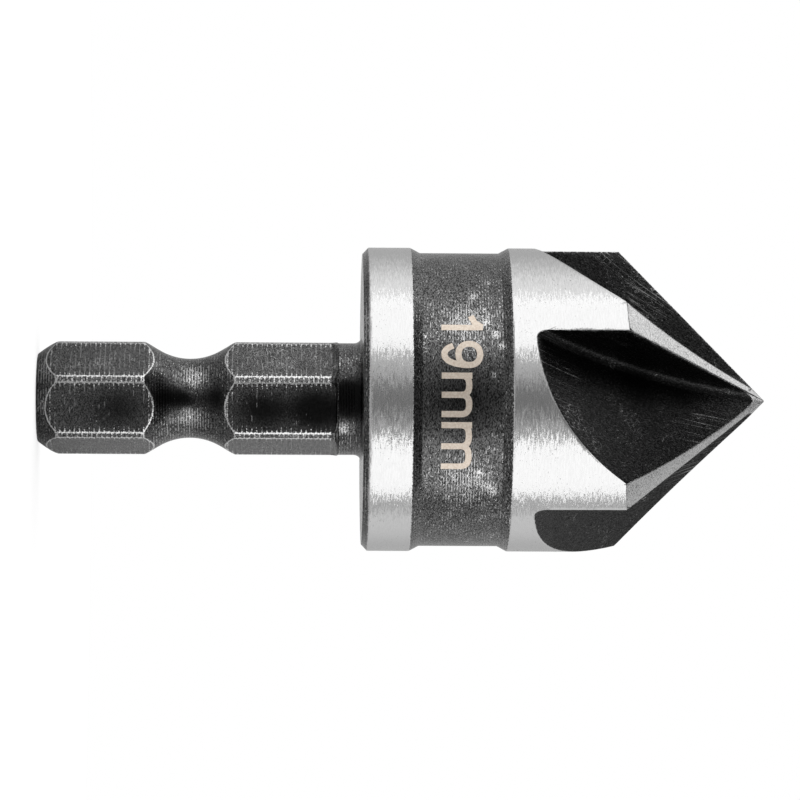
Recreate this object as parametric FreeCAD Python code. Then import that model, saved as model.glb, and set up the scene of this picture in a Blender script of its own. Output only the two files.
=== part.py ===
# Countersink bit: one piece of tool steel with a quarter inch hex shank and a five-tooth conical head
import FreeCAD, Part
import math
import os

from FreeCAD import Placement, Rotation, Vector

# The bit stands on its shank end: origin at the middle of the end face, +Z towards the tip.
# All sizes are millimetres and degrees.

# Shank
ACROSS_FLATS = 6.35
CORNER_DIAMETER = 7.1
END_FACE_DIAMETER = 5.46
END_ROUNDING_LENGTH = 1.27
END_ROUNDING_RADIUS = 7.0
FLATS_END = 18.72
FLATS_CUTTER_RADIUS = 0.4
FLATS = 6
NECK_DIAMETER = 7.0
NECK_STEP_LENGTH = 0.08

# Ball groove of the quick-change shank
GROOVE_CENTRE = 9.52
GROOVE_WAIST_DIAMETER = 4.95
GROOVE_BOTTOM_RADIUS = 3.75
GROOVE_FLANK_RADIUS = 14.0
GROOVE_FLANK_START_ANGLE = 29.0

# Head, turned and ground
HEAD_DIAMETER = 19.0
HEAD_START = 20.25
NECK_FILLET = 0.5
BACK_CHAMFER_LENGTH = 0.37
BACK_CHAMFER_HEIGHT = 0.40
WAIST_START = 23.22
WAIST_END = 29.37
WAIST_DEPTH = 0.33
WAIST_SLOPE_LENGTH = 0.62
TOTAL_LENGTH = 45.55
CONE_HALF_ANGLE = 46.2
TIP_FLAT_DIAMETER = 0.1

# Teeth
TEETH = 5
FIRST_CUTTING_EDGE = 16.2
RELIEF_ANGLE = 2.5
FLUTE_CUTTER_RADIUS = 35.0
FLUTE_CUTTER_WIDTH = 12.0
FLUTE_CUTTER_EDGE_RADIUS = 0.55
FLUTE_CUTTER_OFFSET = 33.87
FLUTE_CUTTER_AHEAD = 19.45

# Tools that only remove metal run this far past the bit
CLEARANCE = 2.0

head_radius = HEAD_DIAMETER / 2
corner_radius = CORNER_DIAMETER / 2
neck_radius = NECK_DIAMETER / 2
cone_slope = math.tan(math.radians(CONE_HALF_ANGLE))
cone_start = TOTAL_LENGTH - head_radius / cone_slope
tooth_pitch = 360.0 / TEETH
axis_z = Vector(0, 0, 1)


def half_plane_point(radius, height):
    """A point of the turned profile, at a radius and a height above the shank end."""
    return Vector(radius, 0, height)


def line(start, end):
    """A straight edge of a profile."""
    return Part.LineSegment(start, end).toShape()


def arc(start, middle, end):
    """A circular edge of a profile through three points."""
    return Part.Arc(start, middle, end).toShape()


def groove_edges():
    """The ball groove, seen in the profile: a round bottom that opens into two much flatter flanks.

    The flank arcs are tangent to the bottom arc, and end at the shank's turned corners.
    """
    start_angle = math.radians(GROOVE_FLANK_START_ANGLE)
    waist = GROOVE_WAIST_DIAMETER / 2
    bottom_centre = waist + GROOVE_BOTTOM_RADIUS
    centre_step = GROOVE_FLANK_RADIUS - GROOVE_BOTTOM_RADIUS
    flank_centre_radius = bottom_centre + centre_step * math.cos(start_angle)
    flank_centre_back = centre_step * math.sin(start_angle)
    end_angle = math.acos((flank_centre_radius - corner_radius) / GROOVE_FLANK_RADIUS)

    def flank_point(angle, side):
        """A point of one flank, where the profile leans by this angle; side is -1 or 1 along the axis."""
        radius = flank_centre_radius - GROOVE_FLANK_RADIUS * math.cos(angle)
        reach = GROOVE_FLANK_RADIUS * math.sin(angle) - flank_centre_back
        return half_plane_point(radius, GROOVE_CENTRE + side * reach)

    middle_angle = (start_angle + end_angle) / 2
    near_end, near_middle, near_start = (flank_point(a, -1) for a in (end_angle, middle_angle, start_angle))
    far_end, far_middle, far_start = (flank_point(a, 1) for a in (end_angle, middle_angle, start_angle))
    edges = [
        arc(near_end, near_middle, near_start),
        arc(near_start, half_plane_point(waist, GROOVE_CENTRE), far_start),
        arc(far_start, far_middle, far_end),
    ]
    return edges, near_end, far_end


def end_rounding_middle(start, end):
    """The middle of the shallow arc that rounds the shank's end, bulging away from the axis."""
    chord = end - start
    outward = Vector(chord.z, 0, -chord.x).normalize()
    half_chord = chord.Length / 2
    bulge = END_ROUNDING_RADIUS - math.sqrt(END_ROUNDING_RADIUS**2 - half_chord**2)
    return (start + end) / 2 + outward * bulge


def shank_edges():
    """The shank's profile: end face, rounded end, ball groove, and the slimmer neck with its fillet."""
    axis_end = half_plane_point(0, 0)
    face_rim = half_plane_point(END_FACE_DIAMETER / 2, 0)
    rounding_top = half_plane_point(corner_radius, END_ROUNDING_LENGTH)
    rounding_middle = end_rounding_middle(face_rim, rounding_top)
    groove, groove_start, groove_end = groove_edges()
    corner_end = half_plane_point(corner_radius, FLATS_END)
    neck_start = half_plane_point(neck_radius, FLATS_END + NECK_STEP_LENGTH)
    fillet_start = half_plane_point(neck_radius, HEAD_START - NECK_FILLET)
    fillet_end = half_plane_point(neck_radius + NECK_FILLET, HEAD_START)
    fillet_drop = NECK_FILLET * (1 - math.sqrt(0.5))
    fillet_middle = half_plane_point(neck_radius + fillet_drop, HEAD_START - fillet_drop)
    edges = [
        line(axis_end, face_rim),
        arc(face_rim, rounding_middle, rounding_top),
        line(rounding_top, groove_start),
        *groove,
        line(groove_end, corner_end),
        line(corner_end, neck_start),
        line(neck_start, fillet_start),
        arc(fillet_start, fillet_middle, fillet_end),
    ]
    return edges, fillet_end


def head_points():
    """The head's profile: back chamfer, rear band, shallow waist, front band, cone and tip."""
    waist_radius = head_radius - WAIST_DEPTH
    tip_radius = TIP_FLAT_DIAMETER / 2
    tip_height = TOTAL_LENGTH - tip_radius / cone_slope
    return [
        half_plane_point(head_radius - BACK_CHAMFER_HEIGHT, HEAD_START),
        half_plane_point(head_radius, HEAD_START + BACK_CHAMFER_LENGTH),
        half_plane_point(head_radius, WAIST_START),
        half_plane_point(waist_radius, WAIST_START + WAIST_SLOPE_LENGTH),
        half_plane_point(waist_radius, WAIST_END - WAIST_SLOPE_LENGTH),
        half_plane_point(head_radius, WAIST_END),
        half_plane_point(head_radius, cone_start),
        half_plane_point(tip_radius, tip_height),
        half_plane_point(0, tip_height),
    ]


def turned_blank():
    """The whole bit as it leaves the lathe: one closed profile revolved about the axis."""
    edges, last = shank_edges()
    for point in head_points():
        edges.append(line(last, point))
        last = point
    edges.append(line(last, half_plane_point(0, 0)))
    profile = Part.Face(Part.Wire(edges))
    return profile.revolve(Vector(0, 0, 0), axis_z, 360)


def flat_cutter():
    """The metal beyond one flat of the hex, with the cutter's round corner at the flat's far end."""
    depth = ACROSS_FLATS / 2
    outside = corner_radius + CLEARANCE
    corner = FLATS_CUTTER_RADIUS
    corner_drop = corner * (1 - math.sqrt(0.5))
    start = Vector(0, -depth, -CLEARANCE)
    corner_start = Vector(0, -depth, FLATS_END - corner)
    corner_middle = Vector(0, -depth - corner_drop, FLATS_END - corner_drop)
    corner_end = Vector(0, -depth - corner, FLATS_END)
    edges = [
        line(start, corner_start),
        arc(corner_start, corner_middle, corner_end),
        line(corner_end, Vector(0, -outside, FLATS_END)),
        line(Vector(0, -outside, FLATS_END), Vector(0, -outside, -CLEARANCE)),
        line(Vector(0, -outside, -CLEARANCE), start),
    ]
    section = Part.Face(Part.Wire(edges))
    section.translate(Vector(-outside, 0, 0))
    return section.extrude(Vector(2 * outside, 0, 0))


def cut_hex_flats(body):
    """Six flats across the turned shank; the round blank is left on the hex corners."""
    for index in range(FLATS):
        cutter = flat_cutter()
        cutter.rotate(Vector(0, 0, 0), axis_z, index * 360.0 / FLATS)
        body = body.cut(cutter)
    return body


def tooth_placement(index):
    """Turns what is drawn for a cutting edge in the XZ plane to the tooth of this number."""
    return Placement(Vector(0, 0, 0), Rotation(axis_z, FIRST_CUTTING_EDGE + index * tooth_pitch))


def relief_cutter():
    """The metal that relief grinding takes off the cone behind one cutting edge.

    It is the sector from this cutting edge back to the next one, less a cone with the same
    tip that is rocked about the cutting edge, so that it falls away behind the edge.
    """
    tip = Vector(0, 0, TOTAL_LENGTH)
    length = TOTAL_LENGTH - cone_start + CLEARANCE
    outside = head_radius + CLEARANCE
    base = TOTAL_LENGTH - length
    sector = Part.makeCylinder(outside, length + CLEARANCE, Vector(0, 0, base), axis_z, tooth_pitch)
    sector.rotate(Vector(0, 0, 0), axis_z, -tooth_pitch)
    rocked_length = 2 * length
    rocked = Part.makeCone(0, rocked_length * cone_slope, rocked_length, tip, Vector(0, 0, -1))
    edge_direction = Vector(cone_slope, 0, -1)
    rocked.rotate(tip, edge_direction, RELIEF_ANGLE)
    return sector.cut(rocked)


def relieve_cone(body):
    """Each tooth's share of the cone falls away behind its cutting edge."""
    for index in range(TEETH):
        cutter = relief_cutter()
        cutter.Placement = tooth_placement(index).multiply(cutter.Placement)
        body = body.cut(cutter)
    return body


def flute_cutter():
    """The milling cutter that sinks one flute: its flat side makes the rake face.

    Its rim, with a rounded edge, makes the floor, which climbs in one long arc from the
    tip to the front band.
    """
    centre = Vector(FLUTE_CUTTER_OFFSET, 0, cone_start + FLUTE_CUTTER_AHEAD)
    disc = Part.makeCylinder(FLUTE_CUTTER_RADIUS, FLUTE_CUTTER_WIDTH, centre, Vector(0, 1, 0))
    rims = [edge for edge in disc.Edges if is_rake_side_rim(edge)]
    return disc.makeFillet(FLUTE_CUTTER_EDGE_RADIUS, rims)


def is_rake_side_rim(edge):
    """True for the disc's rim in the rake plane."""
    round_edge = isinstance(edge.Curve, Part.Circle)
    return round_edge and abs(edge.BoundBox.YMax) < FLUTE_CUTTER_EDGE_RADIUS


def cut_flutes(body):
    """Five flutes at an even pitch; each lies ahead of its cutting edge."""
    for index in range(TEETH):
        cutter = flute_cutter()
        cutter.Placement = tooth_placement(index).multiply(cutter.Placement)
        body = body.cut(cutter)
    return body


def countersink_bit():
    """The finished bit as one solid."""
    body = turned_blank()
    body = cut_hex_flats(body)
    body = relieve_cone(body)
    body = cut_flutes(body)
    return body.removeSplitter()


def write_part(shape, name):
    """Writes one checked solid as a STEP file."""
    solids = shape.Solids
    if len(solids) != 1 or not solids[0].isValid():
        raise RuntimeError(name + " is not one valid solid")
    solids[0].exportStep(os.path.join("parts", name + ".step"))
    box = solids[0].BoundBox
    print(name, "faces", len(solids[0].Faces), "volume", round(solids[0].Volume, 1))
    print(name, "size", round(box.XLength, 3), round(box.YLength, 3), round(box.ZLength, 3))


os.makedirs("parts", exist_ok=True)
write_part(countersink_bit(), "countersink_bit")
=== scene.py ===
import logging
import math
from dataclasses import dataclass, field
from enum import IntEnum

import bpy
import numpy as np
from mathutils import Matrix, Vector


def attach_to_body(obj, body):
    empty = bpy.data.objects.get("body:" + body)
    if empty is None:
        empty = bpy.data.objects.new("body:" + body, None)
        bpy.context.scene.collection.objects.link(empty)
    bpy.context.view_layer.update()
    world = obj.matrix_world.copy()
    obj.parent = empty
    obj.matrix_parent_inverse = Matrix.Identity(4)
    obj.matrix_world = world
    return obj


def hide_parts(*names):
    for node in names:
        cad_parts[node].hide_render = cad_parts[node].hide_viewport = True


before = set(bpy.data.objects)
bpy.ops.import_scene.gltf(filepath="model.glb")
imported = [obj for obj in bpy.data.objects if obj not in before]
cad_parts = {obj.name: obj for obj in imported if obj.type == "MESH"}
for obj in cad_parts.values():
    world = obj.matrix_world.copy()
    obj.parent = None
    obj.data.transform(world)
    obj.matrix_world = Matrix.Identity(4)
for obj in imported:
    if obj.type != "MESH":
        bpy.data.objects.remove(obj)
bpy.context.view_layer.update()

# The shapes below are worked out in millimetres and put into the meshes in metres.
MILLIMETRE = 0.001
NODE = "countersink_bit"
BODY = "root"

# Distance from an edge to the row of points that keeps its rounding tight
EDGE_ROUNDING = 0.035
# Points that agree to this many digits are welded
WELD_DIGITS = 5
# Distance that stands for no worn edge nearby, and the distance below which a point lies on one
FAR_FROM_EDGES = 5.0
ON_EDGE = 1e-6
# Slack that keeps two equal lengths from being told apart
SLACK = 1e-9
# Halvings of a range that find a meeting point to the last digit
HALVINGS = 60
# Share of the radius that is just inside the cylinder
JUST_INSIDE = 0.999

# The photograph's camera looks at the upright bit from this direction, and sees it lying on its side
VIEW_AZIMUTH = math.radians(-10.9)
TOWARDS_CAMERA = Vector((math.sin(VIEW_AZIMUTH), -math.cos(VIEW_AZIMUTH), 0.0))
PICTURE_UP = Vector((-math.cos(VIEW_AZIMUTH), -math.sin(VIEW_AZIMUTH), 0.0))

# Ranges of noise over which each effect turns from nothing to all
GRAIN_RANGE = (0.37, 0.63)
GLOSS_RANGE = (0.2, 0.8)
DASH_RANGE = (0.52, 0.60)
SPECK_RANGE = (0.68, 0.72)
HAIR_RANGE = (0.55, 0.62)
CREAM_RANGE = (0.3, 0.7)
# Heights of a turning line's crest over which wear reaches out along it
CREST_RANGE = (0.75, 1.0)
# Ranges of a distance, in units of the effect's width, over which the effect fades away
HAIR_BORDER = (1.0, 0.4)
EDGE_BORDER = (1.3, 0.7)
# A range of noise and what it becomes: a little less or more of an effect, or a share of a width
PATCHY = (0.35, 0.65, -0.05, 0.05)
UNEVEN = (0.3, 0.7, 0.1, 1.9)
# Size of the patches of rubbed lines, and size and detail of the noise that makes the lines waver
LINE_PATCH = 2.2
WAVER_NOISE = (0.9, 3.0)
# Size of the patches in which hairlines lie, before half of the hairs' own length is added
HAIR_PATCH = 1.4
# What a full scuff adds to the noise of the specks, the hairlines and the rubbed lines, and what a full spot
# of painted shade takes from it
SPECK_SCUFF = 0.11
HAIR_SCUFF = 0.22
LINE_SCUFF = 0.24
# The film of oil over the oxide: its roughness, its refraction, and its share where it is thinnest
OIL_ROUGHNESS = 0.20
OIL_IOR = 1.9
OIL_THINNEST = 0.20
# Share by which the roughness differs from mark to mark
GLOSS_SPREAD = 0.1
# Share of a full turn, which stretches the glints across the marks
GLINT_TURN = 0.25

log = logging.getLogger("countersink_bit")


class Finish(IntEnum):
    """The surface finishes of the steel, in the order of the body's material slots."""

    TURNED = 0
    MILLED = 1
    CORNER = 2
    BAND = 3
    LAND = 4
    FLUTE = 5
    COARSE = 6


class Pattern(IntEnum):
    """Shifts of the noise, so that no two effects share a pattern."""

    HAIR_PATCHES = 12
    GRAIN = 40
    DASHES = 80
    SPECKS = 120
    HAIRS = 160


def add_object(name: str, data: bpy.types.ID) -> bpy.types.Object:
    """Adds an object to the scene.

    Args:
        name: The object's name.
        data: Its mesh, lamp or camera.

    Returns:
        The object.
    """
    made = bpy.data.objects.new(name, data)
    bpy.context.collection.objects.link(made)
    return made


def spaced(count: int, margin: float) -> np.ndarray:
    """Even steps from 0 to 1, with one more step just inside each end.

    Args:
        count: Number of even steps between the two inner points.
        margin: Place of the inner points, as a share of the whole.

    Returns:
        An array of count + 3 values that starts at 0 and ends at 1.
    """
    inner = np.linspace(margin, 1.0 - margin, count + 1)
    return np.concatenate(([0.0], inner, [1.0]))


def blend(start: np.ndarray, end: np.ndarray, share: np.ndarray) -> np.ndarray:
    """Start plus its share of the way to end."""
    return start + (end - start) * share


def round_points(radius: np.ndarray, angle: np.ndarray, height: np.ndarray) -> np.ndarray:
    """Points at a radius and angle about the axis, and a height: (r cos a, r sin a, z)."""
    radius, angle, height = np.broadcast_arrays(radius, angle, height)
    return np.stack((radius * np.cos(angle), radius * np.sin(angle), height), axis=-1)


@dataclass
class Patch:
    """A grid of points with one row after another up the bit and columns that run anticlockwise.

    edge holds each point's distance from the nearest worn edge. run is measured across the tool
    marks, so that it stays the same along each mark.
    """

    points: np.ndarray
    finish: np.ndarray
    edge: np.ndarray
    run: np.ndarray


def make_patch(
    points: np.ndarray,
    finish: int | np.ndarray,
    run: np.ndarray,
    worn_rows: tuple[int, ...] = (),
    edge: np.ndarray | float = FAR_FROM_EDGES,
) -> Patch:
    """Makes a patch and measures its distance from worn edges.

    Args:
        points: Grid of rows by columns by 3.
        finish: One finish, or one for each column of faces.
        run: Measure across the tool marks, for each point or each row.
        worn_rows: Rows that are worn edges; the distance is measured down each column.
        edge: Distance from worn edges that don't lie along a row.

    Returns:
        The patch.
    """
    rows, columns = points.shape[:2]
    distance = np.broadcast_to(np.asarray(edge, dtype=float), (rows, columns)).copy()
    for row in worn_rows:
        distance = np.minimum(distance, np.linalg.norm(points - points[row], axis=2))
    finishes = np.broadcast_to(np.asarray(finish), (rows - 1, columns - 1))
    return Patch(points, finishes, distance, np.broadcast_to(run, (rows, columns)))


def turned_patch(
    radius: float | np.ndarray,
    angle: np.ndarray,
    height: float | np.ndarray,
    finish: Finish,
    worn_rows: tuple[int, ...] = (),
    run: np.ndarray | None = None,
) -> Patch:
    """Makes a patch of the round, of points at a radius, an angle and a height.

    Args:
        radius: Radius of each point or row.
        angle: Column angles.
        height: Height of each point or row.
        finish: The patch's finish.
        worn_rows: Rows that are worn edges.
        run: Measure across the tool marks; without it, the height.

    Returns:
        The patch.
    """
    points = round_points(radius, angle, height)
    return make_patch(points, finish, height if run is None else run, worn_rows)


@dataclass
class Profile:
    """A turned profile's stretch: heights and radii along it, with the number of steps and its finish."""

    start: tuple[float, float]
    end: tuple[float, float]
    steps: int
    finish: Finish
    worn_rows: tuple[int, ...] = ()


@dataclass
class Shank:
    """Quarter inch hex shank with its rounded end, ball groove and neck; all sizes in millimetres."""

    across_flats: float = 6.35
    corner_radius: float = 3.55
    end_face_radius: float = 2.73
    rounding_length: float = 1.27
    rounding_radius: float = 7.0
    flats_end: float = 18.72
    cutter_corner: float = 0.4
    groove_centre: float = 9.52
    groove_waist: float = 2.475
    groove_bottom_radius: float = 3.75
    groove_flank_radius: float = 14.0
    groove_flank_angle: float = math.radians(29.0)
    neck_radius: float = 3.5
    neck_step: float = 0.08
    neck_fillet: float = 0.5
    neck_end: float = 20.25
    flats: int = 6
    flat_columns: int = 41
    strip_shares: tuple[float, float] = (0.62, 0.30)
    end_face_rows: int = 9
    rounding_rows: int = 9
    near_flat_rows: int = 28
    groove_rows: int = 32
    far_flat_rows: int = 32
    run_out_rows: int = 6
    neck_rows: int = 12
    fillet_rows: int = 8

    @property
    def flat_depth(self) -> float:
        """Distance of a flat from the axis."""
        return self.across_flats / 2

    @property
    def corner_angle(self) -> float:
        """Angle from a flat's middle to the line where it meets the turned corner."""
        return math.acos(self.flat_depth / self.corner_radius)

    def sector_angles(self) -> np.ndarray:
        """Angles of one sector's columns, measured from the middle of its flat.

        Returns:
            Angles in rising order from minus half a sector; plus half is the next one's.
        """
        half = math.pi / self.flats
        corner = self.corner_angle
        rounding = EDGE_ROUNDING / self.corner_radius
        across = [blend(corner, half, share) for share in self.strip_shares]
        strip = np.array([half, *across, corner + rounding])
        inner = np.linspace(rounding - corner, corner - rounding, self.flat_columns)
        return np.concatenate((-strip, [-corner], inner, [corner], strip[:0:-1]))

    def column_angles(self) -> np.ndarray:
        """Angles of all columns; each flat's middle lies half a sector after a hex corner.

        Returns:
            Angles in rising order, once round the shank.
        """
        sector = 2 * math.pi / self.flats
        middles = sector * (np.arange(self.flats) + 0.5)
        return (middles[:, None] + self.sector_angles()[None, :]).ravel()

    def from_flat(self, angle: np.ndarray) -> np.ndarray:
        """Angle from the middle of the nearest flat, between minus and plus half a sector."""
        sector = 2 * math.pi / self.flats
        return np.mod(angle, sector) - sector / 2

    def hex_radius(self, angle: np.ndarray) -> np.ndarray:
        """Radius of the hex: the flat's depth over the cosine, up to the radius of the turned corners."""
        return np.minimum(self.flat_depth / np.cos(self.from_flat(angle)), self.corner_radius)

    def rounding_centre(self) -> tuple[float, float]:
        """Radius and height of the centre of the arc that rounds the shank's end.

        Returns:
            The centre's radius and its height.
        """
        chord = np.array((self.corner_radius - self.end_face_radius, self.rounding_length))
        middle = np.array((self.end_face_radius, 0.0)) + chord / 2
        half = np.linalg.norm(chord) / 2
        inward = np.array((-chord[1], chord[0])) / (2 * half)
        centre = middle + inward * math.sqrt(self.rounding_radius**2 - half**2)
        return float(centre[0]), float(centre[1])

    def end_rounding(self, angle: np.ndarray) -> Patch:
        """The rounded end, an arc turned about the axis, from the end face up to the flats.

        Args:
            angle: Column angles.

        Returns:
            The patch, with worn edges at its foot and its top.
        """
        centre_radius, centre_height = self.rounding_centre()
        reach = np.sqrt(self.rounding_radius**2 - (self.hex_radius(angle) - centre_radius) ** 2)
        top = centre_height - reach
        height = top[None, :] * spaced(self.rounding_rows, margin=0.03)[:, None]
        radius = centre_radius + np.sqrt(self.rounding_radius**2 - (height - centre_height) ** 2)
        return turned_patch(radius, angle, height, Finish.COARSE, (0, -1))

    def groove_flank(self) -> tuple[float, float]:
        """Where the flank arcs have their centre: its radius, and its step back from the groove's middle.

        Returns:
            The centre's radius, and the step.
        """
        step = self.groove_flank_radius - self.groove_bottom_radius
        radius = self.groove_waist + self.groove_bottom_radius + step * math.cos(self.groove_flank_angle)
        return radius, step * math.sin(self.groove_flank_angle)

    def groove_reach(self, angle: np.ndarray) -> np.ndarray:
        """How far from its middle the groove's flank meets the hex, along the axis.

        Args:
            angle: Column angles.

        Returns:
            Half the groove's length at each column.
        """
        centre_radius, back = self.groove_flank()
        across = centre_radius - self.hex_radius(angle)
        return np.sqrt(self.groove_flank_radius**2 - across**2) - back

    def groove(self, angle: np.ndarray) -> Patch:
        """The ball groove: a round bottom that opens into two flatter flanks.

        Args:
            angle: Column angles.

        Returns:
            The patch, with worn edges at both ends.
        """
        centre_radius, back = self.groove_flank()
        side = 2 * spaced(self.groove_rows, margin=0.01)[:, None] - 1
        offset = side * self.groove_reach(angle)[None, :]
        bottom_half = self.groove_bottom_radius * math.sin(self.groove_flank_angle)
        deep = np.minimum(np.abs(offset), bottom_half)
        bottom_centre = self.groove_waist + self.groove_bottom_radius
        bottom = bottom_centre - np.sqrt(self.groove_bottom_radius**2 - deep**2)
        outer = np.maximum(np.abs(offset), bottom_half)
        flank = centre_radius - np.sqrt(self.groove_flank_radius**2 - (outer + back) ** 2)
        radius = np.where(np.abs(offset) <= bottom_half, bottom, flank)
        return turned_patch(radius, angle, self.groove_centre + offset, Finish.COARSE, (0, -1))

    def hex_stretch(
        self, angle: np.ndarray, start: np.ndarray, end: np.ndarray, steps: int, worn_rows: tuple[int, ...]
    ) -> Patch:
        """A stretch of the hex between two outlines: flats, and turned strips on the corners.

        Args:
            angle: Column angles.
            start: Height at which each column starts.
            end: Height at which each column ends.
            steps: Number of rows.
            worn_rows: Rows that are worn edges.

        Returns:
            The patch, with its strips finished as worn corners.
        """
        height = blend(start[None, :], end[None, :], spaced(steps, margin=0.007)[:, None])
        across = np.abs(np.abs(self.from_flat(angle)) - self.corner_angle) * self.corner_radius
        middle = np.abs(self.from_flat((angle[1:] + angle[:-1]) / 2))
        finish = np.where(middle < self.corner_angle, int(Finish.MILLED), int(Finish.CORNER))
        points = round_points(self.hex_radius(angle), angle, height)
        return make_patch(points, finish, height, worn_rows, across[None, :])

    def run_out(self, angle: np.ndarray) -> tuple[Patch, np.ndarray]:
        """The round corner that the cutter leaves at the far end of each flat.

        The floor rises in a quarter circle: depth + corner - sqrt(corner^2 - z^2).

        Args:
            angle: Column angles.

        Returns:
            The patch, and the height at which each column reaches the round corners.
        """
        start = self.flats_end - self.cutter_corner
        cosine = np.cos(self.from_flat(angle))
        rim = self.flat_depth + self.cutter_corner - self.corner_radius * cosine
        rise = np.sqrt(np.clip(self.cutter_corner**2 - rim**2, 0.0, None))
        rise = np.where(cosine * self.corner_radius > self.flat_depth + SLACK, rise, 0.0)
        climb = spaced(self.run_out_rows, margin=0.04)[:, None] * rise[None, :]
        depth = self.flat_depth + self.cutter_corner - np.sqrt(self.cutter_corner**2 - climb**2)
        radius = np.minimum(depth / cosine[None, :], self.corner_radius)
        height = start + climb
        return turned_patch(radius, angle, height, Finish.MILLED), start + rise

    def neck(self, angle: np.ndarray, start: np.ndarray) -> list[Patch]:
        """The round neck: the end of the corners, a small step down, and a fillet up to the head.

        Args:
            angle: Column angles.
            start: Height at which each column reaches the round corners.

        Returns:
            Four patches, from the flats to the head's back face.
        """
        shoulder = blend(start[None, :], self.flats_end, spaced(1, margin=0.06)[:, None])
        fall = spaced(1, margin=0.25)[:, None]
        step_radius = blend(self.corner_radius, self.neck_radius, fall)
        fillet_start = self.neck_end - self.neck_fillet
        climb = spaced(self.neck_rows, margin=0.03)[:, None]
        turn = np.linspace(0.0, math.pi / 2, self.fillet_rows)[:, None]
        fillet_radius = self.neck_radius + self.neck_fillet * (1 - np.cos(turn))
        stretches = (
            (self.corner_radius, shoulder, ()),
            (step_radius, self.flats_end + self.neck_step * fall, (0,)),
            (self.neck_radius, blend(self.flats_end + self.neck_step, fillet_start, climb), ()),
            (fillet_radius, fillet_start + self.neck_fillet * np.sin(turn), ()),
        )
        return [
            turned_patch(radius, angle, height, Finish.COARSE, worn) for radius, height, worn in stretches
        ]

    def patches(self, angle: np.ndarray) -> list[Patch]:
        """All patches of the shank, from the middle of its end face to the head's back face.

        Args:
            angle: Column angles, with the first one repeated after a full round.

        Returns:
            The patches in order.
        """
        face_radius = self.end_face_radius * spaced(self.end_face_rows, margin=0.02)[:, None]
        end_face = turned_patch(face_radius, angle, 0.0, Finish.COARSE, (-1,), run=face_radius)
        rounding = self.end_rounding(angle)
        reach = self.groove_reach(angle)
        first_start = rounding.points[-1, :, 2]
        first_end = self.groove_centre - reach
        first = self.hex_stretch(angle, first_start, first_end, self.near_flat_rows, (0, -1))
        flats_stop = np.full_like(angle, self.flats_end - self.cutter_corner)
        second = self.hex_stretch(angle, self.groove_centre + reach, flats_stop, self.far_flat_rows, (0,))
        run_out, corner_start = self.run_out(angle)
        flats = [first, self.groove(angle), second, run_out]
        return [end_face, rounding, *flats, *self.neck(angle, corner_start)]


@dataclass
class Head:
    """Turned part of the head, from its back face to the foot of the teeth; all sizes in millimetres."""

    radius: float = 9.5
    start: float = 20.25
    chamfer_length: float = 0.37
    chamfer_height: float = 0.40
    waist_start: float = 23.22
    waist_end: float = 29.37
    waist_depth: float = 0.33
    slope_length: float = 0.62
    back_face_rows: int = 10

    @property
    def waist_radius(self) -> float:
        """Radius at the bottom of the shallow waist."""
        return self.radius - self.waist_depth

    def back_face(self, inner: float, shank_angle: np.ndarray, head_angle: np.ndarray) -> Patch:
        """The flat ring behind the head, across which the columns turn from the hex to the teeth.

        Args:
            inner: Radius at which the neck's fillet ends.
            shank_angle: Column angles at the inner edge.
            head_angle: Column angles at the outer edge.

        Returns:
            The patch.
        """
        share = spaced(self.back_face_rows, margin=0.01)[:, None]
        radius = blend(inner, self.radius - self.chamfer_height, share)
        angle = blend(shank_angle[None, :], head_angle[None, :], share)
        return turned_patch(radius, angle, self.start, Finish.TURNED, run=radius)

    def stretches(self) -> list[Profile]:
        """The profile from the back chamfer to the end of the waist.

        Returns:
            The stretches in order, each from one corner of the profile to the next.
        """
        outer = self.radius
        waist = self.waist_radius
        slope = self.slope_length
        chamfer_end = self.start + self.chamfer_length
        corners = [
            (outer - self.chamfer_height, self.start),
            (outer, chamfer_end),
            (outer, self.waist_start),
            (waist, self.waist_start + slope),
            (waist, self.waist_end - slope),
            (outer, self.waist_end),
        ]
        steps = (4, 10, 5, 16, 5)
        finishes = (Finish.COARSE, Finish.BAND, Finish.TURNED, Finish.TURNED, Finish.TURNED)
        worn = ((-1,), (0, -1), (0,), (), (-1,))
        return [Profile(*values) for values in zip(corners, corners[1:], steps, finishes, worn)]

    def patches(self, angle: np.ndarray) -> list[Patch]:
        """The turned stretches of the head as patches.

        Args:
            angle: Column angles.

        Returns:
            One patch for each stretch.
        """
        made = []
        for stretch in self.stretches():
            length = math.dist(stretch.start, stretch.end)
            share = spaced(stretch.steps, EDGE_ROUNDING / length)[:, None]
            radius = blend(stretch.start[0], stretch.end[0], share)
            height = blend(stretch.start[1], stretch.end[1], share)
            made.append(turned_patch(radius, angle, height, stretch.finish, stretch.worn_rows))
        return made


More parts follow.
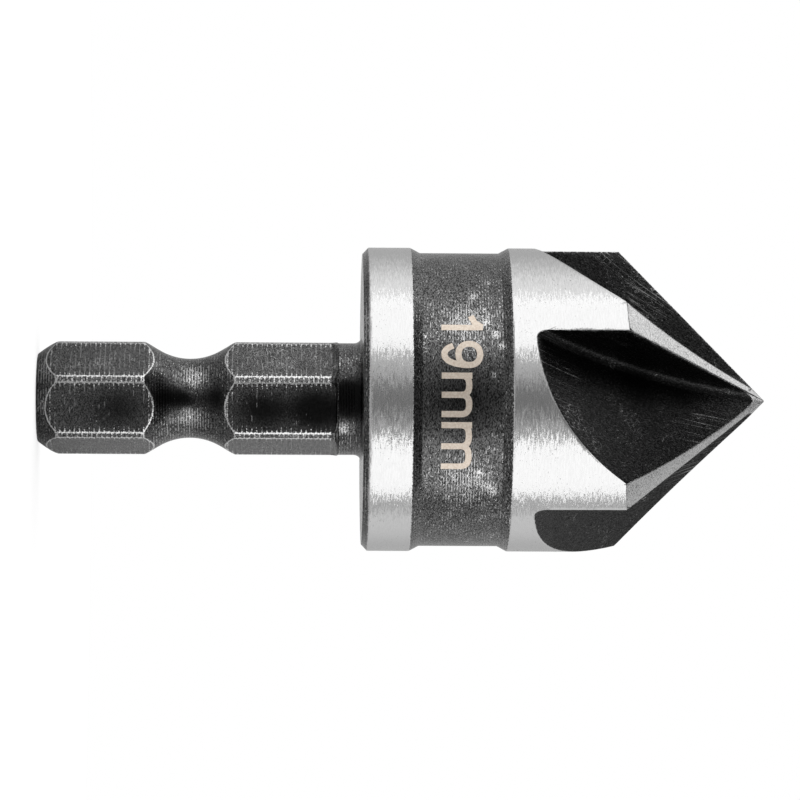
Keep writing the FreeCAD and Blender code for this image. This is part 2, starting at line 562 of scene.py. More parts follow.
@dataclass
class Teeth:
    """Five relieved teeth on a 92 degree cone, with a flute ahead of each; all sizes in millimetres.

    Each flute is drawn for a cutting edge in the XZ plane. p is measured from the axis towards that
    edge, q at right angles to it, ahead of the edge, and z along the bit.
    """

    radius: float = 9.5
    foot: float = 29.37
    tip: float = 45.55
    half_angle: float = math.radians(46.2)
    tip_flat_radius: float = 0.05
    count: int = 5
    first_edge: float = math.radians(16.2)
    relief: float = math.radians(2.5)
    cutter_radius: float = 35.0
    cutter_edge_radius: float = 0.55
    cutter_offset: float = 33.87
    cutter_ahead: float = 19.45
    floor_columns: int = 38
    root_columns: int = 12
    land_columns: int = 10
    rake_columns: int = 9
    side_rows: int = 20
    tip_rows: int = 6
    band_rows: int = 20

    @property
    def pitch(self) -> float:
        """Angle from one cutting edge to the next."""
        return 2 * math.pi / self.count

    @property
    def cone_start(self) -> float:
        """Height at which the cutting edges leave the cylinder."""
        return self.tip - self.radius / math.tan(self.half_angle)

    @property
    def tip_flat(self) -> float:
        """Height of the tiny flat at the tip."""
        return self.tip - self.tip_flat_radius / math.tan(self.half_angle)

    def cutter_reach(self, ahead: np.ndarray) -> np.ndarray:
        """The disc cutter's radius at a distance ahead of the rake face, less where its edge is rounded.

        Args:
            ahead: Distance ahead of the rake face.

        Returns:
            The cutter's radius there.
        """
        edge = self.cutter_edge_radius
        into_edge = edge - np.minimum(ahead, edge)
        return self.cutter_radius - edge + np.sqrt(edge**2 - into_edge**2)

    def floor(self, ahead: np.ndarray, height: np.ndarray) -> np.ndarray:
        """p of the flute's floor, where the disc cutter's rim passes: offset - sqrt(reach^2 - z^2)."""
        from_centre = height - self.cone_start - self.cutter_ahead
        return self.cutter_offset - np.sqrt(self.cutter_reach(ahead) ** 2 - from_centre**2)

    def lower_outline(self, ahead: np.ndarray) -> np.ndarray:
        """Height at which the flute's floor comes out of the cylinder."""
        across = self.cutter_offset - np.sqrt(self.radius**2 - ahead**2)
        return self.cone_start + self.cutter_ahead - np.sqrt(self.cutter_reach(ahead) ** 2 - across**2)

    def land_slope(self, behind: np.ndarray) -> np.ndarray:
        """Radius of a relieved land for each millimetre below the tip, at an angle behind its edge.

        The land is a cone of the same half angle whose axis is rocked about the cutting edge, so the
        slope k solves (k A + B)^2 = cos^2(half angle) (k^2 + 1), where A and B are the rocked axis's
        share in the point's radial direction and down the bit.

        Args:
            behind: Angle behind the cutting edge, about the bit's axis.

        Returns:
            The slope k at each angle.
        """
        half = self.half_angle
        lost = 1 - math.cos(self.relief)
        axis_p = math.sin(half) * math.cos(half) * lost
        axis_q = math.sin(half) * math.sin(self.relief)
        down = math.cos(self.relief) + math.cos(half) ** 2 * lost
        radial = np.cos(behind) * axis_p - np.sin(behind) * axis_q
        square = math.cos(half) ** 2
        root = np.sqrt((radial * down) ** 2 + (square - radial**2) * (down**2 - square))
        return (radial * down + root) / (square - radial**2)

    def heel_height(self, ahead: np.ndarray) -> np.ndarray:
        """Height at which the floor meets the next tooth's land, found by halving the range.

        Args:
            ahead: Each column's distance ahead of the rake face.

        Returns:
            The heel's height at each column.
        """
        low = self.lower_outline(ahead)
        high = np.full_like(low, self.tip)
        for _ in range(HALVINGS):
            middle = (low + high) / 2
            depth = self.floor(ahead, middle)
            slope = self.land_slope(self.pitch - np.arctan2(ahead, depth))
            inside = np.hypot(depth, ahead) < (self.tip - middle) * slope
            low = np.where(inside, middle, low)
            high = np.where(inside, high, middle)
        return (low + high) / 2

    def heel_start(self) -> float:
        """How far ahead of the rake face the flute's outline reaches the cone.

        Returns:
            The distance, found by halving the range.
        """
        low, high = self.cutter_edge_radius, self.radius * JUST_INSIDE
        for _ in range(HALVINGS):
            middle = (low + high) / 2
            behind = self.pitch - math.asin(middle / self.radius)
            cone = self.tip - self.radius / self.land_slope(behind)
            on_cylinder = self.lower_outline(np.array(middle)) < cone
            low, high = (middle, high) if on_cylinder else (low, middle)
        return (low + high) / 2

    def flute_columns(self) -> np.ndarray:
        """Distances ahead of the rake face: close together in the root, then even across the floor.

        Returns:
            The distances in rising order.
        """
        turn = np.linspace(0.0, math.pi / 2, self.root_columns + 1)
        root = self.cutter_edge_radius * (1 - np.cos(turn))
        floor = np.linspace(self.cutter_edge_radius, self.heel_start(), self.floor_columns + 1)
        return np.concatenate((root, floor[1:]))

    def land_angles(self) -> np.ndarray:
        """Angles of the land's columns ahead of the previous edge, from its heel to its cutting edge.

        Returns:
            The angles in rising order.
        """
        start = math.asin(self.heel_start() / self.radius)
        inner = np.linspace(start, self.pitch - EDGE_ROUNDING / self.radius, self.land_columns)
        return np.append(inner, self.pitch)

    def land_shares(self) -> np.ndarray:
        """Place of the land's columns between its heel, 0, and its cutting edge, 1."""
        angles = self.land_angles()
        return (angles - angles[0]) / (angles[-1] - angles[0])

    def column_angles(self) -> np.ndarray:
        """Angles of all columns about the bit: one flute and one land after another.

        Returns:
            Angles in rising order, once round the head from the first cutting edge.
        """
        flute = np.arcsin(self.flute_columns()[:-1] / self.radius)
        sector = np.concatenate((flute, self.land_angles()[:-1]))
        starts = self.first_edge + self.pitch * np.arange(self.count)
        return (starts[:, None] + sector[None, :]).ravel()

    def crest(self) -> int:
        """Number of the flute's column that reaches nearest to the tip, on its root's rounding."""
        return int(np.argmax(self.heel_height(self.flute_columns())))

    def edge_heights(self) -> np.ndarray:
        """Heights of the rake face's rows at its outer side: up the tooth's side and its cutting edge.

        Up to the crest the cutting edge's rows are spaced as the next tooth's heel is, so that the
        land between them has square faces. The last rows climb to the tip.

        Returns:
            The heights in rising order.
        """
        ahead = self.flute_columns()
        heel = self.heel_height(ahead)
        crest = self.crest()
        bottom = float(self.lower_outline(ahead[:1])[0])
        side = bottom + (self.cone_start - bottom) * spaced(self.side_rows - 2, margin=0.007)
        climbing = heel[crest:][::-1]
        share = (climbing - climbing[0]) / (climbing[-1] - climbing[0])
        level = (heel[0] + heel[crest]) / 2
        edge = self.cone_start + (level - self.cone_start) * share
        top = np.linspace(level, self.tip_flat, self.tip_rows + 1)
        return np.concatenate((side, edge[1:], top[1:]))

    def root_heights(self) -> np.ndarray:
        """Heights of the rake face's rows at its inner side: along the root, then up the land's step.

        Returns:
            The heights in rising order, one for each of edge_heights.
        """
        outer = self.edge_heights()[: -self.tip_rows]
        ahead = self.flute_columns()[:1]
        low, high = float(self.lower_outline(ahead)[0]), float(self.heel_height(ahead)[0])
        along = low + (outer - low) * (high - low) / (outer[-1] - low)
        top = np.linspace(high, self.tip_flat, self.tip_rows + 1)
        return np.concatenate((along, top[1:]))

    def place(self, p: np.ndarray, q: np.ndarray, height: np.ndarray, index: int) -> np.ndarray:
        """Turns points drawn for a cutting edge in the XZ plane to the tooth of this number.

        Args:
            p: Distance from the axis towards the cutting edge.
            q: Distance ahead of the edge.
            height: Height along the bit.
            index: Number of the tooth.

        Returns:
            The points.
        """
        p, q, height = np.broadcast_arrays(p, q, height)
        angle = self.first_edge + index * self.pitch
        x = p * math.cos(angle) - q * math.sin(angle)
        y = p * math.sin(angle) + q * math.cos(angle)
        return np.stack((x, y, height), axis=-1)

    def cutter_run(self, p: np.ndarray, height: np.ndarray) -> np.ndarray:
        """Distance from the cutter's axis, which stays the same along its marks."""
        return np.hypot(p - self.cutter_offset, height - self.cone_start - self.cutter_ahead)

    def flute(self, index: int) -> Patch:
        """The flute's root and floor, between its outline on the cylinder and the next tooth's heel.

        The cutter's rim leaves its marks along lines at one distance ahead of the rake face.

        Args:
            index: Number of the tooth.

        Returns:
            The patch, with worn edges along its outline and along the heel.
        """
        ahead = self.flute_columns()
        lower = self.lower_outline(ahead)
        upper = self.heel_height(ahead)
        rows = self.root_heights()[: -self.tip_rows]
        share = (rows - rows[0]) / (rows[-1] - rows[0])
        height = blend(lower[None, :], upper[None, :], share[:, None])
        depth = self.floor(ahead[None, :], height)
        points = self.place(depth, ahead[None, :], height, index)
        run = self.cutter_run(depth, height) + ahead[None, :]
        return make_patch(points, Finish.FLUTE, run, worn_rows=(0, -1))

    def rake(self, index: int) -> Patch:
        """The flat rake face, from the cutting edge in to the root; near the tip, the land's small step.

        Args:
            index: Number of the tooth.

        Returns:
            The patch, whose first column is the cutting edge.
        """
        outer_height, inner_height = self.edge_heights(), self.root_heights()
        outer = np.minimum(self.radius, (self.tip - outer_height) * math.tan(self.half_angle))
        inner = self.floor(np.array(0.0), inner_height)
        step = (self.tip - inner_height) * float(self.land_slope(np.array(self.pitch)))
        inner[-self.tip_rows:] = step[-self.tip_rows:]
        share = spaced(self.rake_columns - 2, margin=0.01)[None, :]
        p = blend(outer[:, None], inner[:, None], share)
        height = blend(outer_height[:, None], inner_height[:, None], share)
        points = self.place(p, np.zeros_like(p), height, index)
        from_edge = np.hypot(outer[:, None] - p, outer_height[:, None] - height)
        return make_patch(points, Finish.FLUTE, self.cutter_run(p, height), edge=from_edge)

    def land(self, index: int) -> Patch:
        """The next tooth's relieved land, from its heel to its cutting edge, up to the flute's crest.

        Args:
            index: Number of the tooth whose flute lies before it.

        Returns:
            The patch, whose last column is the cutting edge.
        """
        ahead = self.flute_columns()[self.crest():][::-1]
        heel_height = self.heel_height(ahead)
        heel_angle = np.arctan2(ahead, self.floor(ahead, heel_height))
        edge_height = self.edge_heights()[self.side_rows:-self.tip_rows]
        share = self.land_shares()[None, :]
        height = blend(heel_height[:, None], edge_height[:, None], share)
        angle = blend(heel_angle[:, None], self.pitch, share)
        radius = (self.tip - height) * self.land_slope(self.pitch - angle)
        radius[0] = self.radius
        turned = angle + self.first_edge + index * self.pitch
        across = np.minimum(self.pitch - angle, angle - heel_angle[:, None]) * radius
        points = round_points(radius, turned, height)
        return make_patch(points, Finish.LAND, height, worn_rows=(0,), edge=across)

    def crown(self, index: int) -> Patch:
        """The land above the flute's crest, all the way round to the cutting edge and up to the tip.

        Args:
            index: Number of the tooth whose flute lies before it.

        Returns:
            The patch, whose last row is the rim of the flat at the tip.
        """
        ahead = self.flute_columns()[: self.crest() + 1]
        heel_height = self.heel_height(ahead)
        heel_angle = np.arctan2(ahead, self.floor(ahead, heel_height))
        share = self.land_shares()
        level = self.edge_heights()[-self.tip_rows - 1]
        low = np.concatenate((heel_height, blend(heel_height[-1], level, share)[1:]))
        angle = np.concatenate((heel_angle, blend(heel_angle[-1], self.pitch, share)[1:]))
        climb = np.linspace(0.0, 1.0, self.tip_rows + 1)[:, None]
        height = blend(low[None, :], self.tip_flat, climb)
        radius = (self.tip - height) * self.land_slope(self.pitch - angle)[None, :]
        points = round_points(radius, angle + self.first_edge + index * self.pitch, height)
        across = (self.pitch - angle)[None, :] * radius
        return make_patch(points, Finish.LAND, height, edge=across)

    def skirt(self, index: int) -> list[Patch]:
        """The cylinder from the waist up to the flute's outline, and the land's corner above it.

        The rows climb to the flute's outline, and below the land to a line that slants from the heel
        down to where the next rake face begins.

        Args:
            index: Number of the tooth.

        Returns:
            The band's patch and the corner's.
        """
        ahead = self.flute_columns()
        rows = self.edge_heights()
        shift = self.first_edge + index * self.pitch
        land_share = self.land_shares()
        outline = self.lower_outline(ahead)
        slant = blend(outline[-1], rows[0], land_share)
        angle = np.concatenate((np.arcsin(ahead / self.radius), self.land_angles()[1:])) + shift
        top = np.concatenate((outline, slant[1:]))
        height = blend(self.foot, top[None, :], spaced(self.band_rows, margin=0.008)[:, None])
        points = round_points(self.radius, angle, height)
        worn = np.minimum(top[None, :] - height, height - self.foot)
        on_land = np.arange(len(angle)) > len(ahead) - 1
        worn = np.where(on_land[None, :], height - self.foot, worn)
        band = make_patch(points, Finish.BAND, height, edge=worn)
        ridge = blend(outline[-1], self.cone_start, land_share)
        side_share = (rows[: self.side_rows + 1] - rows[0]) / (self.cone_start - rows[0])
        corner_height = blend(slant[None, :], ridge[None, :], side_share[:, None])
        corner_angle = self.land_angles() + shift
        corner_points = round_points(self.radius, corner_angle, corner_height)
        to_edge = (self.pitch - self.land_angles())[None, :] * self.radius
        corner = make_patch(corner_points, Finish.BAND, corner_height, worn_rows=(-1,), edge=to_edge)
        return [band, corner]

    def cap(self, rake: Patch, crown: Patch, index: int) -> Patch:
        """This tooth's share of the tiny flat at the tip, from its rim over a smaller ring to the axis.

        Args:
            rake: This tooth's rake face.
            crown: The crown that ends at the next one.
            index: Number of the tooth.

        Returns:
            The patch.
        """
        rim = np.concatenate((rake.points[-1], crown.points[-1, 1:]))
        share = np.linspace(0.0, 1.0, len(rim))
        angle = self.first_edge + (index + share) * self.pitch
        ring = round_points(self.tip_flat_radius / 2, angle, self.tip_flat)
        centre = np.broadcast_to(np.array((0.0, 0.0, self.tip_flat)), rim.shape)
        points = np.stack((rim, ring, centre))
        return make_patch(points, Finish.LAND, self.tip_flat)

    def patches(self) -> list[Patch]:
        """All patches of the teeth.

        Returns:
            The patches of one tooth after another.
        """
        made = []
        for index in range(self.count):
            rake = self.rake(index)
            crown = self.crown(index)
            made += [*self.skirt(index), rake, self.flute(index), self.land(index), crown]
            made.append(self.cap(rake, crown, index))
        return made


@dataclass
class SteelBody:
    """The whole bit as one closed surface, welded from the patches of its shank, head and teeth."""

    shank: Shank = field(default_factory=Shank)
    head: Head = field(default_factory=Head)
    teeth: Teeth = field(default_factory=Teeth)
    edge_loss: float = 0.009
    edge_loss_spread: float = 0.010
    seed: int = 19

    def matched_shank_angles(self, head_angle: np.ndarray) -> np.ndarray:
        """The shank's column angles, counted from the column that lies nearest to the head's first.

        Args:
            head_angle: The head's column angles.

        Returns:
            As many angles about the shank, once round.
        """
        angle = self.shank.column_angles()
        laps = np.concatenate((angle - 2 * math.pi, angle, angle + 2 * math.pi))
        count = len(angle)
        starts = np.arange(len(laps) - count)
        windows = laps[starts[:, None] + np.arange(count)[None, :]]
        nearest = int(np.argmin(np.abs(windows - head_angle[None, :]).max(axis=1)))
        return windows[nearest]

    def patches(self) -> list[Patch]:
        """Every patch, with the first column repeated at the end of each full round.

        Returns:
            The patches, from the end face to the tip.
        """
        head_angle = self.teeth.column_angles()
        shank_angle = self.matched_shank_angles(head_angle)
        head_angle = np.append(head_angle, head_angle[0] + 2 * math.pi)
        shank_angle = np.append(shank_angle, shank_angle[0] + 2 * math.pi)
        fillet_end = self.shank.neck_radius + self.shank.neck_fillet
        made = self.shank.patches(shank_angle)
        made.append(self.head.back_face(fillet_end, shank_angle, head_angle))
        made += self.head.patches(head_angle)
        return made + self.teeth.patches()

    def build(self, materials: list[bpy.types.Material]) -> bpy.types.Object:
        """Welds the patches into one mesh, rounds its worn edges and makes the object.

        Args:
            materials: One material for each finish, in the order of Finish.

        Returns:
            The finished object.
        """
        patches = self.patches()
        points = np.concatenate([patch.points.reshape(-1, 3) for patch in patches])
        edge = np.concatenate([patch.edge.ravel() for patch in patches])
        run = np.concatenate([patch.run.ravel() for patch in patches])
        finish = np.concatenate([patch.finish.ravel() for patch in patches])
        quads = self.grid_quads(patches)
        keys = np.round(points, WELD_DIGITS) + 0.0
        _, first, merged = np.unique(keys, axis=0, return_index=True, return_inverse=True)
        merged = merged.ravel()
        nearest = np.full(len(first), FAR_FROM_EDGES)
        np.minimum.at(nearest, merged, edge)
        mesh = self.mesh_from(points[first], merged[quads], finish)
        mesh.attributes.new("edge_distance", "FLOAT", "POINT").data.foreach_set("value", nearest)
        mesh.attributes.new("mark_run", "FLOAT", "POINT").data.foreach_set("value", run[first])
        self.wear_edges(mesh, nearest)
        for material in materials:
            mesh.materials.append(material)
        return add_object("steel_body", mesh)

    def grid_quads(self, patches: list[Patch]) -> np.ndarray:
        """The four corners of every face, counted through all patches.

        Args:
            patches: The patches in order.

        Returns:
            Four point numbers for each face.
        """
        quads = []
        start = 0
        for patch in patches:
            rows, columns = patch.points.shape[:2]
            index = start + np.arange(rows * columns).reshape(rows, columns)
            corners = (index[:-1, :-1], index[:-1, 1:], index[1:, 1:], index[1:, :-1])
            quads.append(np.stack(corners, axis=-1).reshape(-1, 4))
            start += rows * columns
        return np.concatenate(quads)

    def mesh_from(self, points: np.ndarray, quads: np.ndarray, finish: np.ndarray) -> bpy.types.Mesh:
        """Makes the mesh, where a face with two equal corners becomes a triangle or is left out.

        Args:
            points: The welded points in millimetres.
            quads: Four point numbers for each face.
            finish: The finish of each face.

        Returns:
            The mesh, shaded smooth.
        """
        kept = quads != np.roll(quads, 1, axis=1)
        corners = kept.sum(axis=1)
        real = (corners > 2) & (quads[:, 0] != quads[:, 2]) & (quads[:, 1] != quads[:, 3])
        quads, kept, corners = quads[real], kept[real], corners[real]
        mesh = bpy.data.meshes.new("steel_body")
        mesh.vertices.add(len(points))
        mesh.vertices.foreach_set("co", (points * MILLIMETRE).ravel())
        mesh.loops.add(int(corners.sum()))
        mesh.loops.foreach_set("vertex_index", quads[kept])
        mesh.polygons.add(len(quads))
        mesh.polygons.foreach_set("loop_start", np.cumsum(corners) - corners)
        mesh.polygons.foreach_set("material_index", finish[real])
        mesh.update(calc_edges=True)
        mesh.validate()
        mesh.shade_smooth()
        return mesh

    def wear_edges(self, mesh: bpy.types.Mesh, distance: np.ndarray) -> None:
        """Draws the points on worn edges a little into the metal, unevenly, as handling and grinding do.

        Args:
            mesh: The body's mesh, which is changed.
            distance: Each point's distance from the nearest worn edge.
        """
        normals = np.empty(len(distance) * 3)
        mesh.vertex_normals.foreach_get("vector", normals)
        places = np.empty(len(distance) * 3)
        mesh.vertices.foreach_get("co", places)
        spread = np.random.default_rng(self.seed).random(len(distance)) * self.edge_loss_spread
        loss = np.where(distance < ON_EDGE, self.edge_loss + spread, 0.0) * MILLIMETRE
        moved = places.reshape(-1, 3) - normals.reshape(-1, 3) * loss[:, None]
        moved[:, 2] = np.maximum(moved[:, 2], 0.0)
        mesh.vertices.foreach_set("co", moved.ravel())
        mesh.update()


@dataclass
class SizeMark:
    """The size of the head in plain figures on the waist, a thin layer that hugs the round.

    Strokes are drawn flat, in millimetres: u runs around the waist in the reading direction and v
    along the bit. Each glyph has its own start and width. foot is how far legs start above the
    baseline, and layer how much higher each stroke lies than the last.
    """

    waist_radius: float = 9.17
    first_angle: float = math.radians(-134.6)
    baseline: float = 24.95
    figure_height: float = 2.55
    letter_height: float = 1.88
    stroke: float = 0.38
    glyph_starts: tuple[float, ...] = (-0.09, 1.72, 3.74, 6.76)
    glyph_widths: tuple[float, ...] = (1.09, 1.74, 2.72, 3.02)
    foot: float = 0.019
    # The flag of the 1: its end from the left, its bend as a share of the way to the upright, and its
    # root from the upright; the second numbers go down from the top, and up for the root
    flag_end: tuple[float, float] = (0.076, 0.54)
    flag_bend: tuple[float, float] = (0.62, 0.32)
    flag_root: tuple[float, float] = (0.04, 0.133)
    bowl_height: float = 0.66
    bowl_squareness: float = 2.2
    hook_end: float = -142.0
    arch_height: float = 0.52
    arch_squareness: float = 2.6
    proud: float = 0.010
    sunk: float = 0.030
    layer: float = 0.0004
    ragged: float = 0.012
    point_spacing: float = 0.05
    samples: int = 48
    seed: int = 7

    def arc(
        self, centre: tuple[float, float], radii: tuple[float, float], start: float, end: float,
        squareness: float,
    ) -> np.ndarray:
        """Points of a squarish ellipse's arc: each axis is |cos| or |sin| to the power 2 / squareness.

        Args:
            centre: Middle of the ellipse.
            radii: Half its width and half its height.
            start: Where the arc starts, in degrees.
            end: Where it ends, in degrees.
            squareness: 2 for a true ellipse, and more for a squarer one.

        Returns:
            The points in order.
        """
        turn = np.radians(np.linspace(start, end, self.samples))
        cosine, sine = np.cos(turn), np.sin(turn)
        across = np.sign(cosine) * np.abs(cosine) ** (2 / squareness)
        along = np.sign(sine) * np.abs(sine) ** (2 / squareness)
        return np.stack((centre[0] + radii[0] * across, centre[1] + radii[1] * along), axis=-1)

    def one(self, width: float) -> list[np.ndarray]:
        """The figure 1: an upright with a flag at its top.

        Args:
            width: The glyph's width.

        Returns:
            The middle lines of its strokes.
        """
        half = self.stroke / 2
        stem = width - half
        top = self.figure_height - half
        upright = np.array(((stem, self.foot), (stem, top + half)))
        end = (self.flag_end[0], top - self.flag_end[1])
        bend = (stem * self.flag_bend[0], top - self.flag_bend[1])
        root = (stem - self.flag_root[0], top + self.flag_root[1])
        return [upright, np.array((end, bend, root))]

    def nine(self, width: float) -> list[np.ndarray]:
        """The figure 9: a round bowl and a tail that hooks back at the foot.

        Args:
            width: The glyph's width.

        Returns:
            The middle lines of its strokes.
        """
        half = self.stroke / 2
        across = width / 2 - half
        middle = (width / 2, self.figure_height - half - self.bowl_height)
        bowl = self.arc(middle, (across, self.bowl_height), 0.0, 360.0, self.bowl_squareness)
        tail = self.arc(middle, (across, middle[1] - half), 0.0, self.hook_end, self.bowl_squareness)
        return [bowl, tail]

    def em(self, width: float) -> list[np.ndarray]:
        """The letter m: an upright and two arches.

        Args:
            width: The glyph's width.

        Returns:
            The middle lines of its strokes.
        """
        half = self.stroke / 2
        step = (width - self.stroke) / 2
        spring = self.letter_height - half - self.arch_height
        strokes = [np.array(((half, self.foot), (half, self.letter_height)))]
        for number in range(2):
            middle = (half + step * (number + 0.5), spring)
            crown = self.arc(middle, (step / 2, self.arch_height), 180.0, 0.0, self.arch_squareness)
            leg = np.array(((half + step * (number + 1), self.foot),))
            strokes.append(np.concatenate((crown, leg)))
        return strokes

    def ribbon(self, path: np.ndarray, level: int, random: np.random.Generator) -> np.ndarray:
        """A closed ribbon along a flat path, bent round the waist.

        The path is resampled evenly, its two sides lie half a stroke away along the path's normal,
        and the section is a thin rectangle. Rows follow the path and four columns go round the section.

        Args:
            path: Points of the path's middle line.
            level: Number of the stroke; each lies a hair higher than the last, so that none coincide.
            random: Source of the sides' slight raggedness.

        Returns:
            Points of rows by 4 by 3.
        """
        lengths = np.concatenate(([0.0], np.cumsum(np.linalg.norm(np.diff(path, axis=0), axis=1))))
        even = np.linspace(0.0, lengths[-1], max(int(lengths[-1] / self.point_spacing), 3))
        u = np.interp(even, lengths, path[:, 0])
        v = np.interp(even, lengths, path[:, 1])
        direction = np.stack((np.gradient(u), np.gradient(v)), axis=-1)
        direction /= np.linalg.norm(direction, axis=1)[:, None]
        side = np.stack((direction[:, 1], -direction[:, 0]), axis=-1)
        width = self.stroke / 2 + (random.random((len(u), 2)) - 0.5) * self.ragged
        middle = np.stack((u, v), axis=-1)
        right = middle + side * width[:, :1]
        left = middle - side * width[:, 1:]
        high = self.waist_radius + self.proud + level * self.layer
        low = self.waist_radius - self.sunk
        flat = np.stack((left, right, right, left), axis=1)
        radius = np.array((high, high, low, low))[None, :]
        angle = self.first_angle + flat[:, :, 0] / self.waist_radius
        return round_points(radius, angle, self.baseline + flat[:, :, 1])

    def strokes(self) -> list[np.ndarray]:
        """The middle lines of all strokes in reading order.

        Returns:
            One path for each stroke.
        """
        draws = (self.one, self.nine, self.em, self.em)
        glyphs = zip(draws, self.glyph_starts, self.glyph_widths)
        return [path + np.array((start, 0.0)) for draw, start, width in glyphs for path in draw(width)]

    def build(self, material: bpy.types.Material) -> bpy.types.Object:
        """Makes the mark as one mesh of closed ribbons.

        Args:
            material: The mark's finish.

        Returns:
            The finished object.
        """
        random = np.random.default_rng(self.seed)
        ribbons = [self.ribbon(path, level, random) for level, path in enumerate(self.strokes())]
        points = np.concatenate([ribbon.reshape(-1, 3) for ribbon in ribbons])
        faces = []
        start = 0
        for ribbon in ribbons:
            index = start + np.arange(len(ribbon) * 4).reshape(-1, 4)
            around = np.roll(index, -1, axis=1)
            sides = np.stack((index[:-1], around[:-1], around[1:], index[1:]), axis=-1).reshape(-1, 4)
            ends = np.stack((index[0, ::-1], index[-1]))
            faces.append(np.concatenate((sides, ends)))
            start += len(ribbon) * 4
        mesh = bpy.data.meshes.new("size_mark")
        mesh.from_pydata(points * MILLIMETRE, [], np.concatenate(faces))
        mesh.validate()
        mesh.materials.append(material)
        return add_object("size_mark", mesh)


class NodeDesk:
    """Places shader nodes in one tree and links them."""

    def __init__(self, tree: bpy.types.NodeTree) -> None:
        """Starts on a tree that is empty or already holds its group sockets."""
        self.tree = tree

    def node(self, kind: str, inputs: dict | None = None, **settings: object) -> bpy.types.Node:
        """Adds a node.

        Args:
            kind: Blender's name of the node type.
            inputs: Values or sockets for its inputs, by name or number.
            settings: Properties of the node.

        Returns:
            The node.
        """
        made = self.tree.nodes.new(kind)
        for name, value in settings.items():
            setattr(made, name, value)
        self.fill(made, inputs or {})
        return made

    def fill(self, node: bpy.types.Node, inputs: dict) -> None:
        """Feeds several inputs of a node, given by name or number."""
        for name, value in inputs.items():
            self.feed(node.inputs[name], value)

    def feed(self, socket: bpy.types.NodeSocket, value: object) -> None:
        """Links a socket to an input, or sets the input's own value.

        Args:
            socket: The input.
            value: A socket to link, or the value to set.
        """
        if isinstance(value, bpy.types.NodeSocket):
            self.tree.links.new(value, socket)
        else:
            socket.default_value = value

    def math(self, operation: str, *values: object) -> bpy.types.NodeSocket:
        """The result of one math node."""
        return self.node("ShaderNodeMath", dict(enumerate(values)), operation=operation).outputs[0]

    def vector(self, operation: str, *values: object, result: str = "Vector") -> bpy.types.NodeSocket:
        """A result of one vector math node."""
        return self.node("ShaderNodeVectorMath", dict(enumerate(values)), operation=operation).outputs[result]

    def scaled(self, direction: object, scale: object) -> bpy.types.NodeSocket:
        """A direction times a number."""
        inputs = {0: direction, "Scale": scale}
        return self.node("ShaderNodeVectorMath", inputs, operation="SCALE").outputs["Vector"]

    def ramp(
        self, value: object, low: object, high: float, bottom: float = 0.0, top: float = 1.0
    ) -> bpy.types.NodeSocket:
        """A smooth step of a value from bottom to top as it goes from low to high."""
        inputs = {"Value": value, "From Min": low, "From Max": high, "To Min": bottom, "To Max": top}
        return self.node("ShaderNodeMapRange", inputs, interpolation_type="SMOOTHSTEP").outputs["Result"]

    def mix(self, share: object, first: object, second: object) -> bpy.types.NodeSocket:
        """A colour between two colours.

        Args:
            share: Share of the second colour.
            first: Colour at a share of 0.
            second: Colour at a share of 1.

        Returns:
            The colour.
        """
        made = self.node("ShaderNodeMix", data_type="RGBA")
        self.feed(made.inputs["Factor"], share)
        colour_inputs = [socket for socket in made.inputs if socket.type == "RGBA"]
        self.feed(colour_inputs[0], first)
        self.feed(colour_inputs[1], second)
        return next(socket for socket in made.outputs if socket.type == "RGBA")

    def group(self, tree: bpy.types.NodeTree, **inputs: object) -> bpy.types.Node:
        """Places a group; input names have spaces where the arguments have underscores."""
        spelled = {name.replace("_", " "): value for name, value in inputs.items()}
        return self.node("ShaderNodeGroup", spelled, node_tree=tree)


def new_group(
    name: str, inputs: dict[str, float], outputs: list[str]
) -> tuple[NodeDesk, dict[str, bpy.types.NodeSocket], bpy.types.Node]:
    """Starts a shader node group with number sockets; an output called Normal is a direction.

    Args:
        name: The group's name.
        inputs: Default value of each input.
        outputs: Names of its outputs.

    Returns:
        Its desk, its input sockets by name, and its output node.
    """
    tree = bpy.data.node_groups.new(name, "ShaderNodeTree")
    for label, value in inputs.items():
        socket = tree.interface.new_socket(label, in_out="INPUT", socket_type="NodeSocketFloat")
        socket.default_value = value
    for label in outputs:
        kind = "NodeSocketVector" if label == "Normal" else "NodeSocketFloat"
        tree.interface.new_socket(label, in_out="OUTPUT", socket_type=kind)
    desk = NodeDesk(tree)
    entry = desk.node("NodeGroupInput")
    leave = desk.node("NodeGroupOutput")
    return desk, {label: entry.outputs[label] for label in inputs}, leave


def new_material(name: str) -> tuple[bpy.types.Material, NodeDesk]:
    """Starts a material.

    Args:
        name: The material's name.

    Returns:
        The material, and the desk of its nodes.
    """
    material = bpy.data.materials.new(name)
    material.use_nodes = True
    return material, NodeDesk(material.node_tree)


def place_in_millimetres(desk: NodeDesk) -> bpy.types.NodeSocket:
    """Object coordinates in millimetres."""
    return desk.scaled(desk.node("ShaderNodeTexCoord").outputs["Object"], 1 / MILLIMETRE)


def scaled_place(desk: NodeDesk, size: object) -> bpy.types.NodeSocket:
    """Object coordinates in units of a size in millimetres."""
    return desk.scaled(place_in_millimetres(desk), desk.math("DIVIDE", 1.0, size))


def mark_run(desk: NodeDesk) -> bpy.types.NodeSocket:
    """Millimetres across the tool marks, from the body's own attribute."""
    return desk.node("ShaderNodeAttribute", attribute_name="mark_run").outputs["Fac"]


def around_the_bit(desk: NodeDesk) -> bpy.types.NodeSocket:
    """The direction that runs around the bit at each point."""
    return desk.node("ShaderNodeTangent", direction_type="RADIAL", axis="Z").outputs["Tangent"]


